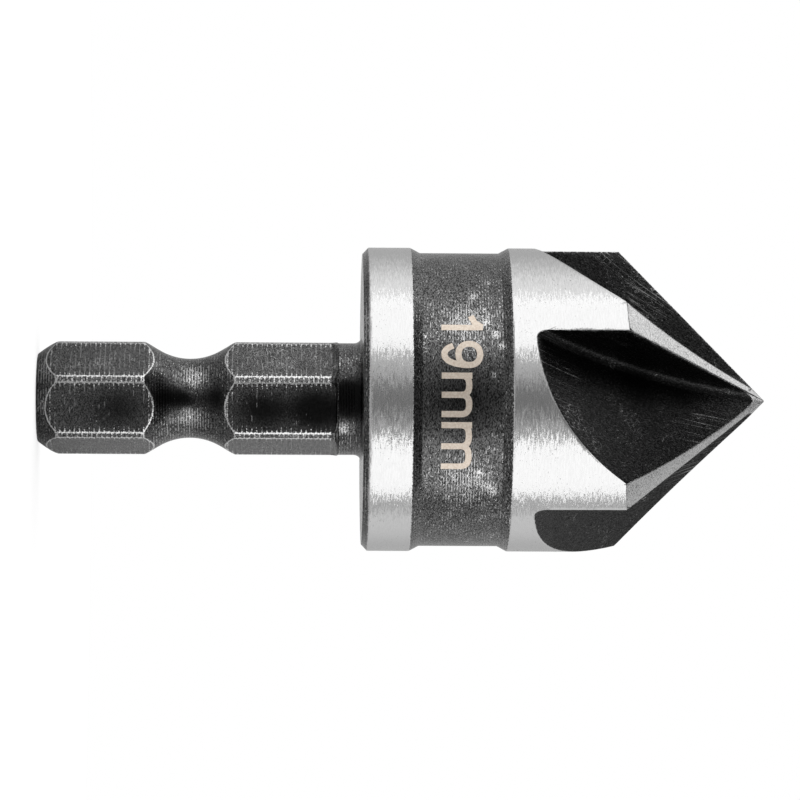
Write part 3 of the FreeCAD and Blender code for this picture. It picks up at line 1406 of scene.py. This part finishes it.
def plain_noise(
    desk: NodeDesk, size: object, detail: float = 2.0, shift: object = 0.0
) -> bpy.types.NodeSocket:
    """Noise of one size in millimetres in all directions, near a half; shift picks another pattern."""
    inputs = {"Vector": scaled_place(desk, size), "W": shift, "Scale": 1.0, "Detail": detail}
    return desk.node("ShaderNodeTexNoise", inputs, noise_dimensions="4D").outputs["Fac"]


def streak_noise(
    desk: NodeDesk, fineness: object, length: object, detail: float = 2.0, shift: float = 0.0
) -> bpy.types.NodeSocket:
    """Noise that is fine across the tool marks and long along them.

    It is noise of the streaks' length, whose pattern shifts with the measure across the marks.

    Args:
        desk: Where the nodes go.
        fineness: Size across the marks in millimetres.
        length: Size along the marks in millimetres.
        detail: Octaves of the noise.
        shift: Moves the pattern, so that two of them differ.

    Returns:
        The noise, near a half.
    """
    across = desk.math("ADD", desk.math("DIVIDE", mark_run(desk), fineness), shift)
    return plain_noise(desk, length, detail, across)


def tool_marks_group() -> bpy.types.NodeTree:
    """Streaks that follow the tool marks.

    Returns:
        The group, whose output Height runs from 0 to 1.
    """
    desk, given, leave = new_group("tool marks", {"Fineness": 0.1, "Length": 0.8}, ["Height"])
    desk.feed(leave.inputs["Height"], streak_noise(desk, given["Fineness"], given["Length"]))
    return desk.tree


def ground_grain_group() -> bpy.types.NodeTree:
    """The surface's direction, tipped to and fro from one streak of the grinding to the next.

    N' = normalize(N + T a + (N x T) b), where T runs around the bit. Each of a and b is
    (streaky noise - 0.5) Streaks + (fine even noise - 0.5) Pits.

    Returns:
        The group, whose output is the tipped normal.
    """
    sizes = {"Fineness": 0.08, "Length": 0.6, "Streaks": 0.2, "Pits": 0.3, "Pit Size": 0.06}
    desk, given, leave = new_group("ground grain", sizes, ["Normal"])
    normal = desk.node("ShaderNodeNewGeometry").outputs["Normal"]
    tangent = around_the_bit(desk)
    turned = normal
    for number, direction in enumerate((tangent, desk.vector("CROSS_PRODUCT", normal, tangent))):
        shift = number * Pattern.GRAIN
        streaks = streak_noise(desk, given["Fineness"], given["Length"], shift=shift)
        pits = desk.math("SUBTRACT", plain_noise(desk, given["Pit Size"], 1.0, shift), 0.5)
        pitted = desk.math("MULTIPLY", pits, given["Pits"])
        tip = desk.math("MULTIPLY_ADD", desk.math("SUBTRACT", streaks, 0.5), given["Streaks"], pitted)
        turned = desk.vector("ADD", turned, desk.scaled(direction, tip))
    desk.feed(leave.inputs["Normal"], desk.vector("NORMALIZE", turned))
    return desk.tree


def turning_lines_group() -> bpy.types.NodeTree:
    """The regular grooves of a turned face: a sine across the marks, and its crests where they are rubbed.

    The rubbed dashes are the sine's crests, above the height Crest, where streaky noise is high;
    Rubbed moves their share.

    Returns:
        The group, with the outputs Height and Dashes.
    """
    inputs = {"Pitch": 0.17, "Phase": 0.0, "Waver": 0.5, "Dash": 0.2, "Crest": 0.55, "Rubbed": 0.0}
    desk, given, leave = new_group("turning lines", inputs, ["Height", "Dashes"])
    turns = desk.math("ADD", desk.math("DIVIDE", mark_run(desk), given["Pitch"]), given["Phase"])
    shifted = desk.math("MULTIPLY_ADD", plain_noise(desk, *WAVER_NOISE), given["Waver"], turns)
    wave = desk.math("SINE", desk.math("MULTIPLY", shifted, 2 * math.pi))
    height = desk.math("MULTIPLY_ADD", wave, 0.5, 0.5)
    desk.feed(leave.inputs["Height"], height)
    streaks = streak_noise(desk, given["Pitch"], given["Dash"], 1.0, Pattern.DASHES)
    wide = desk.ramp(plain_noise(desk, LINE_PATCH), *PATCHY)
    over = desk.math("ADD", desk.math("ADD", streaks, wide), given["Rubbed"])
    crest = desk.ramp(height, given["Crest"], 1.0)
    desk.feed(leave.inputs["Dashes"], desk.math("MULTIPLY", crest, desk.ramp(over, *DASH_RANGE)))
    return desk.tree


def worn_edge_group() -> bpy.types.NodeTree:
    """Bare metal along worn edges, with a ragged border that can reach out along each turning line.

    The mask goes from one to nothing where the distance passes Width u (1 + u Reach crest), where u
    is uneven noise and crest is how near the point is to a line's crest.

    Returns:
        The group, whose output is the mask of the bare metal.
    """
    inputs = {"Width": 0.06, "Grain": 0.09, "Lines": 0.5, "Reach": 0.0}
    desk, given, leave = new_group("worn edge", inputs, ["Mask"])
    distance = desk.node("ShaderNodeAttribute", attribute_name="edge_distance").outputs["Fac"]
    uneven = desk.ramp(plain_noise(desk, given["Grain"]), *UNEVEN)
    crest = desk.math("MULTIPLY", desk.ramp(given["Lines"], *CREST_RANGE), given["Reach"])
    width = desk.math("MULTIPLY_ADD", desk.math("MULTIPLY", crest, uneven), uneven, uneven)
    ragged = desk.math("MULTIPLY", given["Width"], width)
    desk.feed(leave.inputs["Mask"], desk.ramp(desk.math("DIVIDE", distance, ragged), *EDGE_BORDER))
    return desk.tree


def specks_group() -> bpy.types.NodeTree:
    """Tiny flecks, drawn out along the tool marks and thicker in some places: noise over a threshold.

    Returns:
        The group, whose output is the specks' mask.
    """
    sizes = {"Size": 0.07, "Length": 0.12, "Patch": 1.8, "Amount": 0.0}
    desk, given, leave = new_group("specks", sizes, ["Mask"])
    fine = streak_noise(desk, given["Size"], given["Length"], 1.0, Pattern.SPECKS)
    wide = desk.ramp(plain_noise(desk, given["Patch"]), *PATCHY)
    over = desk.math("ADD", desk.math("ADD", fine, wide), given["Amount"])
    desk.feed(leave.inputs["Mask"], desk.ramp(over, *SPECK_RANGE))
    return desk.tree


def hairlines_group() -> bpy.types.NodeTree:
    """Thin scratches in patches: where streaky noise passes through a half, and wider noise is high.

    Returns:
        The group, whose output is the scratches' mask.
    """
    inputs = {"Fineness": 0.3, "Length": 0.5, "Width": 0.012, "Patch": 1.6, "Amount": 0.0}
    desk, given, leave = new_group("hairlines", inputs, ["Mask"])
    noise = streak_noise(desk, given["Fineness"], given["Length"], 1.0, Pattern.HAIRS)
    off = desk.math("ABSOLUTE", desk.math("SUBTRACT", noise, 0.5))
    line = desk.ramp(desk.math("DIVIDE", off, given["Width"]), *HAIR_BORDER)
    patches = plain_noise(desk, given["Patch"], shift=Pattern.HAIR_PATCHES)
    wide = desk.math("ADD", patches, given["Amount"])
    desk.feed(leave.inputs["Mask"], desk.math("MULTIPLY", line, desk.ramp(wide, *HAIR_RANGE)))
    return desk.tree


def scuff_and_shade_group() -> bpy.types.NodeTree:
    """A round spot, used for rubbing and for painted shade: one in its middle, down to nothing at its reach.

    Returns:
        The group, whose output is the spot's mask.
    """
    inputs = {"X": 0.0, "Y": 0.0, "Z": 0.0, "Reach": 1.0}
    desk, given, leave = new_group("scuff_and_shade", inputs, ["Mask"])
    middle = desk.node("ShaderNodeCombineXYZ", {axis: given[axis] for axis in "XYZ"}).outputs["Vector"]
    distance = desk.vector("DISTANCE", place_in_millimetres(desk), middle, result="Value")
    desk.feed(leave.inputs["Mask"], desk.ramp(desk.math("DIVIDE", distance, given["Reach"]), 1.0, 0.0))
    return desk.tree


@dataclass(frozen=True)
class NodeGroups:
    """The effects that several materials share."""

    tool_marks: bpy.types.NodeTree
    ground_grain: bpy.types.NodeTree
    turning_lines: bpy.types.NodeTree
    worn_edge: bpy.types.NodeTree
    specks: bpy.types.NodeTree
    hairlines: bpy.types.NodeTree
    scuff_and_shade: bpy.types.NodeTree


def grey(level: float) -> tuple[float, float, float, float]:
    """A neutral colour."""
    return (level, level, level, 1.0)


@dataclass(frozen=True)
class ScuffAndShade:
    """A rubbed spot on the round, or a spot of painted shade: its place around and along the bit, its size
    and its strength.

    A spot of negative strength is painted shade: it darkens the tone and the oil film towards its middle, and
    thins the rubbed lines, specks and hairlines there.
    """

    around: float
    height: float
    reach: float
    radius: float = 9.17
    strength: float = 1.0

    def place(self) -> dict[str, float]:
        """Its middle and reach, by the names of the scuff group's sockets.

        Returns:
            Values for X, Y, Z and Reach.
        """
        angle = VIEW_AZIMUTH - math.pi / 2 - math.radians(self.around)
        middle = {"X": self.radius * math.cos(angle), "Y": self.radius * math.sin(angle), "Z": self.height}
        return {**middle, "Reach": self.reach}


@dataclass(frozen=True)
class Hairs:
    """One kind of thin scratch: its size across and along the tool marks, and how much there is of it."""

    fineness: float
    length: float
    amount: float


@dataclass(frozen=True)
class SteelFinish:
    """One finish of the steel: its tones, its gloss and the marks that the tools left.

    Bare metal shows in rubbed dashes on the turning lines, in specks and along worn edges. Spots of negative
    strength are painted shade.
    """

    name: str
    tone: float
    dark_tone: float
    roughness: float
    oil: float = 1.0
    worn_tone: float = 0.90
    worn_width: float = 0.035
    worn_reach: float = 0.0
    speck_amount: float = 0.0
    speck_tone: float = 0.60
    speck_size: float = 0.07
    hairs: tuple[Hairs, ...] = ()
    bare_roughness: float = 0.24
    anisotropy: float = 0.0
    streaks: float = 0.0
    pits: float = 0.3
    pit_size: float = 0.055
    mark_fineness: float = 0.08
    mark_length: float = 0.3
    mark_depth: float = 0.004
    line_pitch: float = 0.17
    line_phase: float = 0.0
    line_dash: float = 0.2
    line_crest: float = 0.55
    line_depth: float = 0.0
    line_contrast: float = 0.0
    rubbed: float = 0.0
    # Rubbed spots, and spots of negative strength that are painted shade
    scuffs_and_shades: tuple[ScuffAndShade, ...] = ()

    def wear_and_shade(self, desk: NodeDesk, groups: NodeGroups) -> bpy.types.NodeSocket | float:
        """How rubbed each point is, and below nothing how deep its painted shade is: nothing away from the
        spots, and each one's strength in its middle.

        Args:
            desk: Where the nodes go.
            groups: The shared effects.

        Returns:
            How rubbed or shaded each point is, or 0 on a finish without spots.
        """
        total = 0.0
        for scuff_and_shade in self.scuffs_and_shades:
            spot = desk.group(groups.scuff_and_shade, **scuff_and_shade.place()).outputs["Mask"]
            total = desk.math("MULTIPLY_ADD", spot, scuff_and_shade.strength, total)
        return total

    def bare_metal(
        self, desk: NodeDesk, groups: NodeGroups, lines: bpy.types.Node, wear_and_shade: object, tone: object
    ) -> tuple[bpy.types.NodeSocket, bpy.types.NodeSocket]:
        """Puts rubbed lines, specks and worn edges over a tone.

        Args:
            desk: Where the nodes go.
            groups: The shared effects.
            lines: The turning lines' node.
            wear_and_shade: How rubbed each point is; below nothing, how deep the painted shade is.
            tone: The tone so far.

        Returns:
            The new tone, and the mask of the bare metal.
        """
        dashes = desk.math("MULTIPLY", lines.outputs["Dashes"], self.line_contrast)
        amount = desk.math("MULTIPLY_ADD", wear_and_shade, SPECK_SCUFF, self.speck_amount)
        specks = desk.group(groups.specks, Size=self.speck_size, Amount=amount).outputs["Mask"]
        marked = desk.math("MAXIMUM", dashes, specks)
        for kind in self.hairs:
            hair_amount = desk.math("MULTIPLY_ADD", wear_and_shade, HAIR_SCUFF, kind.amount)
            patch = HAIR_PATCH + kind.length / 2
            sizes = {"Fineness": kind.fineness, "Length": kind.length, "Patch": patch}
            hairs = desk.group(groups.hairlines, Amount=hair_amount, **sizes)
            marked = desk.math("MAXIMUM", marked, hairs.outputs["Mask"])
        tone = desk.mix(marked, tone, grey(self.speck_tone))
        worn = desk.group(
            groups.worn_edge, Width=self.worn_width, Lines=lines.outputs["Height"], Reach=self.worn_reach
        ).outputs["Mask"]
        tone = desk.mix(worn, tone, grey(self.worn_tone))
        return tone, desk.math("MAXIMUM", marked, worn)

    def build(self, groups: NodeGroups) -> bpy.types.Material:
        """Makes the material: a metal whose tone, roughness and direction follow the marks and the wear, and
        whose tone and oil film darken in spots of painted shade.

        Args:
            groups: The shared effects.

        Returns:
            The material.
        """
        material, desk = new_material(self.name)
        shader = desk.tree.nodes["Principled BSDF"]
        marks = desk.group(groups.tool_marks, Fineness=self.mark_fineness, Length=self.mark_length).outputs[0]
        wear_and_shade = self.wear_and_shade(desk, groups)
        rubbed = desk.math("MULTIPLY_ADD", wear_and_shade, LINE_SCUFF, self.rubbed)
        lines = desk.group(
            groups.turning_lines, Pitch=self.line_pitch, Phase=self.line_phase, Dash=self.line_dash,
            Crest=self.line_crest, Rubbed=rubbed,
        )
        # Painted shade: 1 away from the spots of negative strength, down to 0 in their middles; it darkens
        # the tone and the oil film
        outside_painted_shade = desk.ramp(wear_and_shade, -1.0, 0.0)
        grain = desk.ramp(marks, *GRAIN_RANGE)
        tone = desk.mix(desk.math("MULTIPLY", grain, outside_painted_shade), grey(self.dark_tone), grey(self.tone))
        tone, bare = self.bare_metal(desk, groups, lines, wear_and_shade, tone)
        least, most = self.roughness * (1 - GLOSS_SPREAD), self.roughness * (1 + GLOSS_SPREAD)
        rough = desk.ramp(marks, *GLOSS_RANGE, least, most)
        mixed = desk.node("ShaderNodeMix", {0: bare, 2: rough, 3: self.bare_roughness})
        if self.oil > 0:
            film = desk.ramp(grain, 0.0, 1.0, self.oil * OIL_THINNEST, self.oil)
            covered = desk.math("MULTIPLY_ADD", bare, -1.0, 1.0)
            coat = desk.math("MULTIPLY", desk.math("MULTIPLY", film, outside_painted_shade), covered)
            desk.fill(shader, {"Coat Weight": coat})
        if self.anisotropy > 0:
            desk.fill(shader, {"Tangent": around_the_bit(desk)})
        desk.fill(shader, {
            "Base Color": tone,
            "Roughness": mixed.outputs[0],
            "Metallic": 1.0,
            "Coat Roughness": OIL_ROUGHNESS,
            "Coat IOR": OIL_IOR,
            "Anisotropic": self.anisotropy,
            "Anisotropic Rotation": GLINT_TURN,
            "Normal": self.direction(desk, groups, marks, lines),
        })
        return material

    def direction(
        self, desk: NodeDesk, groups: NodeGroups, marks: bpy.types.NodeSocket, lines: bpy.types.Node
    ) -> bpy.types.NodeSocket:
        """The surface's direction: the grain, with the marks and lines as a bump over it.

        Args:
            desk: Where the nodes go.
            groups: The shared effects.
            marks: Height of the tool marks.
            lines: The turning lines' node.

        Returns:
            The direction.
        """
        height = desk.math("MULTIPLY", marks, self.mark_depth)
        if self.line_depth > 0:
            height = desk.math("MULTIPLY_ADD", lines.outputs["Height"], self.line_depth, height)
        grain = desk.group(
            groups.ground_grain, Fineness=self.mark_fineness, Length=self.mark_length,
            Streaks=self.streaks, Pits=self.pits, Pit_Size=self.pit_size,
        )
        tipped = grain.outputs["Normal"]
        inputs = {"Height": height, "Distance": MILLIMETRE, "Strength": 1.0, "Normal": tipped}
        return desk.node("ShaderNodeBump", inputs).outputs["Normal"]


# Every spot of negative strength below is painted shade: on the side that faces the camera, by the neck and
# in the middle flute
STEEL_FINISHES = {
    Finish.TURNED: SteelFinish(
        "turned_black_oxide", tone=0.135, dark_tone=0.010, roughness=0.28, oil=0.9, rubbed=-0.06,
        speck_amount=-0.04, speck_tone=0.85, pits=0.8, hairs=(Hairs(0.3, 0.5, -0.03),), mark_fineness=0.06,
        mark_length=0.12, line_pitch=0.17, line_crest=0.65, line_contrast=0.70, line_depth=0.004,
        # The large spots at about plus and minus 30 degrees lie where the soft boxes are mirrored: rubbed
        # metal that partly paints the highlights there
        scuffs_and_shades=(
            ScuffAndShade(30.0, 26.6, 2.9), ScuffAndShade(-33.0, 26.4, 2.7), ScuffAndShade(0.0, 26.3, 4.2, strength=-0.6),
            ScuffAndShade(43.5, 26.93, 0.5, strength=2.2), ScuffAndShade(51.5, 27.88, 0.3, strength=1.8),
            ScuffAndShade(31.2, 27.79, 0.35, strength=1.8), ScuffAndShade(25.5, 28.3, 0.4, strength=2.2),
            ScuffAndShade(21.0, 28.7, 0.4, strength=1.8), ScuffAndShade(9.5, 28.15, 0.3, strength=2.4),
            ScuffAndShade(38.8, 24.3, 0.5), ScuffAndShade(-36.0, 27.9, 0.8, strength=1.2),
            ScuffAndShade(-38.0, 28.3, 0.4, strength=1.4), ScuffAndShade(-29.0, 27.3, 0.4, strength=1.4),
        ),
    ),
    Finish.MILLED: SteelFinish(
        "milled_black_oxide", tone=0.088, dark_tone=0.010, roughness=0.25, worn_width=0.042, worn_reach=2.4,
        speck_amount=-0.02, speck_tone=0.50, pits=0.8, hairs=(Hairs(0.3, 0.5, -0.01),), mark_fineness=0.06,
        mark_length=0.08, mark_depth=0.003, line_pitch=0.305, line_dash=0.6, line_crest=0.84,
        line_contrast=0.45, rubbed=0.01,
        # The spots of positive strength at 45 degrees are rubbed metal that partly paints the upper flat's
        # lighter tone
        scuffs_and_shades=(
            ScuffAndShade(-12.0, 17.9, 2.7, 3.2, -1.0), ScuffAndShade(-12.0, 15.7, 2.7, 3.2, -0.6),
            ScuffAndShade(-12.0, 13.5, 2.7, 3.2, -0.8), ScuffAndShade(-11.0, 3.7, 2.7, 3.2, -0.4),
            ScuffAndShade(-11.0, 5.7, 2.7, 3.2, -0.6), ScuffAndShade(45.0, 3.5, 3.0, 3.2, 0.5),
            ScuffAndShade(45.0, 14.5, 3.0, 3.2, 0.4), ScuffAndShade(38.0, 18.6, 0.3, 3.4, 3.0),
        ),
    ),
    Finish.CORNER: SteelFinish(
        "worn_hex_corner", tone=0.20, dark_tone=0.012, roughness=0.35, oil=0.6, worn_width=0.045,
        worn_reach=2.0, speck_amount=0.05, mark_fineness=0.06, mark_length=0.1, mark_depth=0.006,
        line_pitch=0.305, line_phase=0.5, line_depth=0.008, line_contrast=0.25, rubbed=0.03,
    ),
    Finish.BAND: SteelFinish(
        "ground_band", tone=0.84, dark_tone=0.79, roughness=0.16, oil=0.0, anisotropy=0.7, streaks=0.36,
        pits=0.36, pit_size=0.05, speck_amount=-0.05, speck_tone=0.3, speck_size=0.06, worn_width=0.0001,
        bare_roughness=0.16, mark_fineness=0.055, mark_length=0.42, mark_depth=0.0015,
    ),
    Finish.LAND: SteelFinish(
        "ground_land", tone=0.97, dark_tone=0.58, roughness=0.22, oil=0.0, anisotropy=0.4, streaks=0.2,
        pits=1.1, pit_size=0.05, speck_amount=0.03, speck_tone=0.22, speck_size=0.06, worn_width=0.034,
        worn_tone=0.10, mark_fineness=0.05, mark_length=0.08, mark_depth=0.003,
    ),
    Finish.FLUTE: SteelFinish(
        "flute_black_oxide", tone=0.052, dark_tone=0.013, roughness=0.26, oil=0.05, worn_width=0.032,
        worn_tone=0.70, speck_amount=-0.04, speck_tone=0.32, pits=1.0,
        hairs=(Hairs(0.3, 0.5, 0.0), Hairs(0.3, 14.0, 0.02)), mark_fineness=0.06, mark_length=0.16,
        scuffs_and_shades=(ScuffAndShade(12.0, 37.2, 3.0, 4.2, -0.9), ScuffAndShade(8.0, 40.2, 2.0, 3.0, -0.7)),
    ),
    Finish.COARSE: SteelFinish(
        "coarse_black_oxide", tone=0.12, dark_tone=0.012, roughness=0.26, oil=0.85, worn_width=0.045,
        speck_amount=-0.02, speck_tone=0.75, pits=0.8, mark_fineness=0.06, mark_length=0.10,
        mark_depth=0.006, line_pitch=0.17, line_contrast=0.65, line_depth=0.009, rubbed=-0.02,
        # The spots of positive strength at about plus and minus 30 degrees lie where the soft boxes are
        # mirrored: rubbed metal that partly paints the highlights there
        scuffs_and_shades=(
            ScuffAndShade(34.0, 0.7, 1.5, 3.2, 1.5), ScuffAndShade(-10.0, 0.7, 1.5, 3.2, 0.8),
            ScuffAndShade(32.0, 9.9, 1.5, 2.6, 1.5), ScuffAndShade(-32.0, 9.7, 1.2, 2.6, 1.3),
            ScuffAndShade(0.0, 8.1, 2.0, 2.8, -1.0), ScuffAndShade(0.0, 11.2, 1.8, 2.8, -0.9),
            ScuffAndShade(0.0, 9.5, 1.3, 2.5, -0.6), ScuffAndShade(0.0, 19.4, 2.5, 3.5, -1.4),
            ScuffAndShade(-31.0, 19.0, 0.7, 3.5, 2.2), ScuffAndShade(38.0, 18.7, 0.3, 3.5, 3.0),
            ScuffAndShade(30.0, 20.4, 3.0, 9.3), ScuffAndShade(-38.0, 20.4, 2.0, 9.3),
        ),
    ),
}


@dataclass(frozen=True)
class CreamPrint:
    """The finish of the size mark: a slightly uneven cream, etched and frosted; sizes in millimetres."""

    name: str = "size_mark_cream"
    dark_cream: tuple[float, float, float, float] = (0.86, 0.74, 0.63, 1.0)
    pale_cream: tuple[float, float, float, float] = (1.0, 0.90, 0.79, 1.0)
    roughness: float = 0.52
    frost_size: float = 0.12
    frost_depth: float = 0.01

    def build(self) -> bpy.types.Material:
        """Makes the material: a metal whose cream and bump follow one fine noise.

        Returns:
            The material.
        """
        material, desk = new_material(self.name)
        inputs = {"Vector": scaled_place(desk, self.frost_size), "Scale": 1.0, "Detail": 2.0}
        frost = desk.node("ShaderNodeTexNoise", inputs).outputs["Fac"]
        bump = desk.node("ShaderNodeBump", {"Height": frost, "Distance": self.frost_depth * MILLIMETRE})
        desk.fill(desk.tree.nodes["Principled BSDF"], {
            "Base Color": desk.mix(desk.ramp(frost, *CREAM_RANGE), self.dark_cream, self.pale_cream),
            "Metallic": 1.0,
            "Roughness": self.roughness,
            "Normal": bump.outputs["Normal"],
        })
        return material


@dataclass(frozen=True)
class SoftBox:
    """A large soft lamp, placed by the direction in which the bit sees it.

    around is the angle from the camera's direction towards the picture's top, and height the angle
    above the floor. width and tall are in metres, and glow is its brightness, where 1 is white.
    """

    name: str
    around: float
    height: float
    distance: float
    width: float
    tall: float
    glow: float

    def build(self, aim: Vector) -> bpy.types.Object:
        """Makes the lamp, turned to face the bit and hidden from the camera.

        Args:
            aim: The point that the lamp faces.

        Returns:
            The lamp.
        """
        around, height = math.radians(self.around), math.radians(self.height)
        level = TOWARDS_CAMERA * math.cos(around) + PICTURE_UP * math.sin(around)
        direction = level * math.cos(height) + Vector((0.0, 0.0, math.sin(height)))
        light = bpy.data.lights.new(self.name, "AREA")
        light.shape = "RECTANGLE"
        light.size = self.width
        light.size_y = self.tall
        light.energy = self.glow * math.pi * self.width * self.tall
        lamp = add_object(self.name, light)
        lamp.location = aim + direction * self.distance
        lamp.rotation_euler = direction.to_track_quat("Z", "Y").to_euler()
        lamp.visible_camera = False
        return lamp


@dataclass
class Studio:
    """A small pale floor, soft light and the photograph's camera."""

    middle_height: float = 0.0228
    floor_radius: float = 0.075
    floor_sides: int = 96
    floor_gap: float = 0.00001
    floor_tone: float = 0.80
    floor_glow: float = 0.70
    camera_distance: float = 0.285
    camera_height: float = 0.01583
    aim_height: float = 0.02266
    picture_width: float = 0.05013
    picture_drop: float = 0.00004
    axis_tilt: float = 0.0052
    sensor_width: float = 36.0
    nearest_seen: float = 0.01
    softboxes: tuple[SoftBox, ...] = (
        SoftBox("upper_softbox", 60.0, 0.0, 0.5, 0.443, 0.8, 1.1),
        SoftBox("lower_softbox", -54.0, 0.0, 0.5, 0.445, 0.8, 1.1),
        SoftBox("top_softbox", 124.0, 56.0, 0.5, 0.40, 0.40, 0.42),
    )
    # Brightness of the room by the angle from the camera's direction, minus and plus half a turn
    room: tuple[tuple[float, float], ...] = (
        (-180.0, 0.48), (-166.0, 0.46), (-150.0, 0.46), (-140.0, 0.48), (-120.0, 0.60), (-100.0, 0.64),
        (-92.0, 0.50), (-86.0, 0.40), (-79.0, 0.40), (-76.0, 0.06), (-33.0, 0.06), (-29.5, 0.45),
        (-20.0, 0.39), (-10.0, 0.23), (0.0, 0.16), (10.0, 0.23), (20.0, 0.45), (30.0, 0.50), (35.0, 0.50),
        (38.0, 0.06), (82.0, 0.06), (85.0, 0.87), (100.0, 0.85), (110.0, 0.73), (120.0, 0.61),
        (130.0, 0.52), (145.0, 0.44), (166.0, 0.46), (180.0, 0.48),
    )
    # The room overhead: its brightness in front and behind, and where it starts and turns
    overhead_front: float = 0.08
    overhead_back: float = 0.45
    overhead_start: tuple[float, float] = (0.60, 0.85)
    overhead_turn: tuple[float, float] = (-0.45, 0.20)
    # Degrees from straight behind the bit within which mirrored rays see white
    backdrop_edge: float = 8.0

    def build_floor(self) -> bpy.types.Object:
        """A round pale floor under the bit; what the camera sees of it is white apart from the shadow.

        Returns:
            The floor.
        """
        turn = np.linspace(0.0, 2 * math.pi, self.floor_sides, endpoint=False)
        ring = round_points(self.floor_radius, turn, -self.floor_gap)
        mesh = bpy.data.meshes.new("floor")
        mesh.from_pydata(ring, [], [np.arange(len(ring))])
        floor = add_object("floor", mesh)
        material, desk = new_material("pale_floor")
        desk.tree.nodes.clear()
        matte = desk.node("ShaderNodeBsdfDiffuse", {"Color": grey(self.floor_tone)})
        path = desk.node("ShaderNodeLightPath")
        strength = desk.math("MULTIPLY", path.outputs["Is Camera Ray"], self.floor_glow)
        glow = desk.node("ShaderNodeEmission", {"Color": grey(1.0), "Strength": strength})
        both = desk.node("ShaderNodeAddShader", {0: matte.outputs[0], 1: glow.outputs[0]})
        desk.node("ShaderNodeOutputMaterial", {"Surface": both.outputs[0]})
        mesh.materials.append(material)
        return floor

    def build_world(self) -> None:
        """A white background, and a room that is dark on the camera's side and pale behind the bit."""
        world = bpy.data.worlds.new("studio")
        bpy.context.scene.world = world
        world.use_nodes = True
        desk = NodeDesk(world.node_tree)
        desk.tree.nodes.clear()
        direction = desk.node("ShaderNodeTexCoord").outputs["Generated"]
        towards = desk.vector("DOT_PRODUCT", direction, TOWARDS_CAMERA, result="Value")
        upwards = desk.vector("DOT_PRODUCT", direction, PICTURE_UP, result="Value")
        angle = desk.math("ARCTAN2", upwards, towards)
        share = desk.math("MULTIPLY_ADD", angle, 0.5 / math.pi, 0.5)
        ramp = desk.node("ShaderNodeValToRGB", {"Fac": share})
        self.fill_ramp(ramp.color_ramp)
        height = desk.node("ShaderNodeSeparateXYZ", {0: direction}).outputs["Z"]
        steep = desk.ramp(desk.math("ABSOLUTE", height), *self.overhead_start)
        overhead = desk.ramp(towards, *self.overhead_turn, self.overhead_back, self.overhead_front)
        room = desk.mix(steep, ramp.outputs["Color"], overhead)
        path = desk.node("ShaderNodeLightPath")
        mirrored = desk.math("ADD", path.outputs["Is Glossy Ray"], path.outputs["Is Transmission Ray"])
        rim = math.cos(math.radians(self.backdrop_edge))
        behind = desk.ramp(towards, -rim, -1.0)
        white = desk.math("MULTIPLY_ADD", mirrored, behind, path.outputs["Is Camera Ray"])
        seen = desk.mix(desk.math("MINIMUM", white, 1.0), room, grey(1.0))
        background = desk.node("ShaderNodeBackground", {"Color": seen, "Strength": 1.0})
        desk.node("ShaderNodeOutputWorld", {"Surface": background.outputs[0]})

    def fill_ramp(self, ramp: bpy.types.ColorRamp) -> None:
        """Puts the room's brightness on a colour ramp.

        Args:
            ramp: The ramp, which is changed.
        """
        while len(ramp.elements) > 1:
            ramp.elements.remove(ramp.elements[-1])
        for number, (angle, level) in enumerate(self.room):
            place = angle / 360.0 + 0.5
            element = ramp.elements[0] if number == 0 else ramp.elements.new(place)
            element.position = place
            element.color = grey(level)

    def build_camera(self) -> bpy.types.Object:
        """The camera stands square to the bit's side and turns slightly to take in the whole of it.

        Returns:
            The camera, which is also made the scene's own.
        """
        drop = PICTURE_UP * -self.picture_drop
        place = TOWARDS_CAMERA * self.camera_distance + Vector((0.0, 0.0, self.camera_height)) + drop
        aim = Vector((0.0, 0.0, self.aim_height)) + drop
        forward = (aim - place).normalized()
        up = (PICTURE_UP - Vector((0.0, 0.0, self.axis_tilt))).normalized()
        right = forward.cross(up).normalized()
        up = right.cross(forward)
        data = bpy.data.cameras.new("camera")
        data.sensor_width = self.sensor_width
        data.lens = self.sensor_width * self.camera_distance / self.picture_width
        data.clip_start = self.nearest_seen
        camera = add_object("camera", data)
        turn = Matrix((right, up, -forward)).transposed()
        camera.matrix_world = Matrix.Translation(place) @ turn.to_4x4()
        bpy.context.scene.camera = camera
        return camera

    def build(self) -> None:
        """Makes the floor, the lamps, the world and the camera."""
        self.build_floor()
        for box in self.softboxes:
            box.build(Vector((0.0, 0.0, self.middle_height)))
        self.build_world()
        self.build_camera()
        bpy.context.scene.view_settings.view_transform = "Standard"


def attach(piece: bpy.types.Object) -> None:
    """Makes a piece move with the bit's body.

    Args:
        piece: The finished piece.
    """
    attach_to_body(piece, BODY)
    log.info("%s: %d faces", piece.name, len(piece.data.polygons))


def main() -> None:
    """Builds the steel body, its size mark and the studio."""
    logging.basicConfig(level=logging.INFO)
    groups = NodeGroups(
        tool_marks_group(), ground_grain_group(), turning_lines_group(), worn_edge_group(),
        specks_group(), hairlines_group(), scuff_and_shade_group(),
    )
    materials = [STEEL_FINISHES[finish].build(groups) for finish in Finish]
    body = SteelBody().build(materials)
    attach(body)
    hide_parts(NODE)
    mark = SizeMark().build(CreamPrint().build())
    attach(mark)
    Studio().build()


if __name__ == "__main__":
    main()
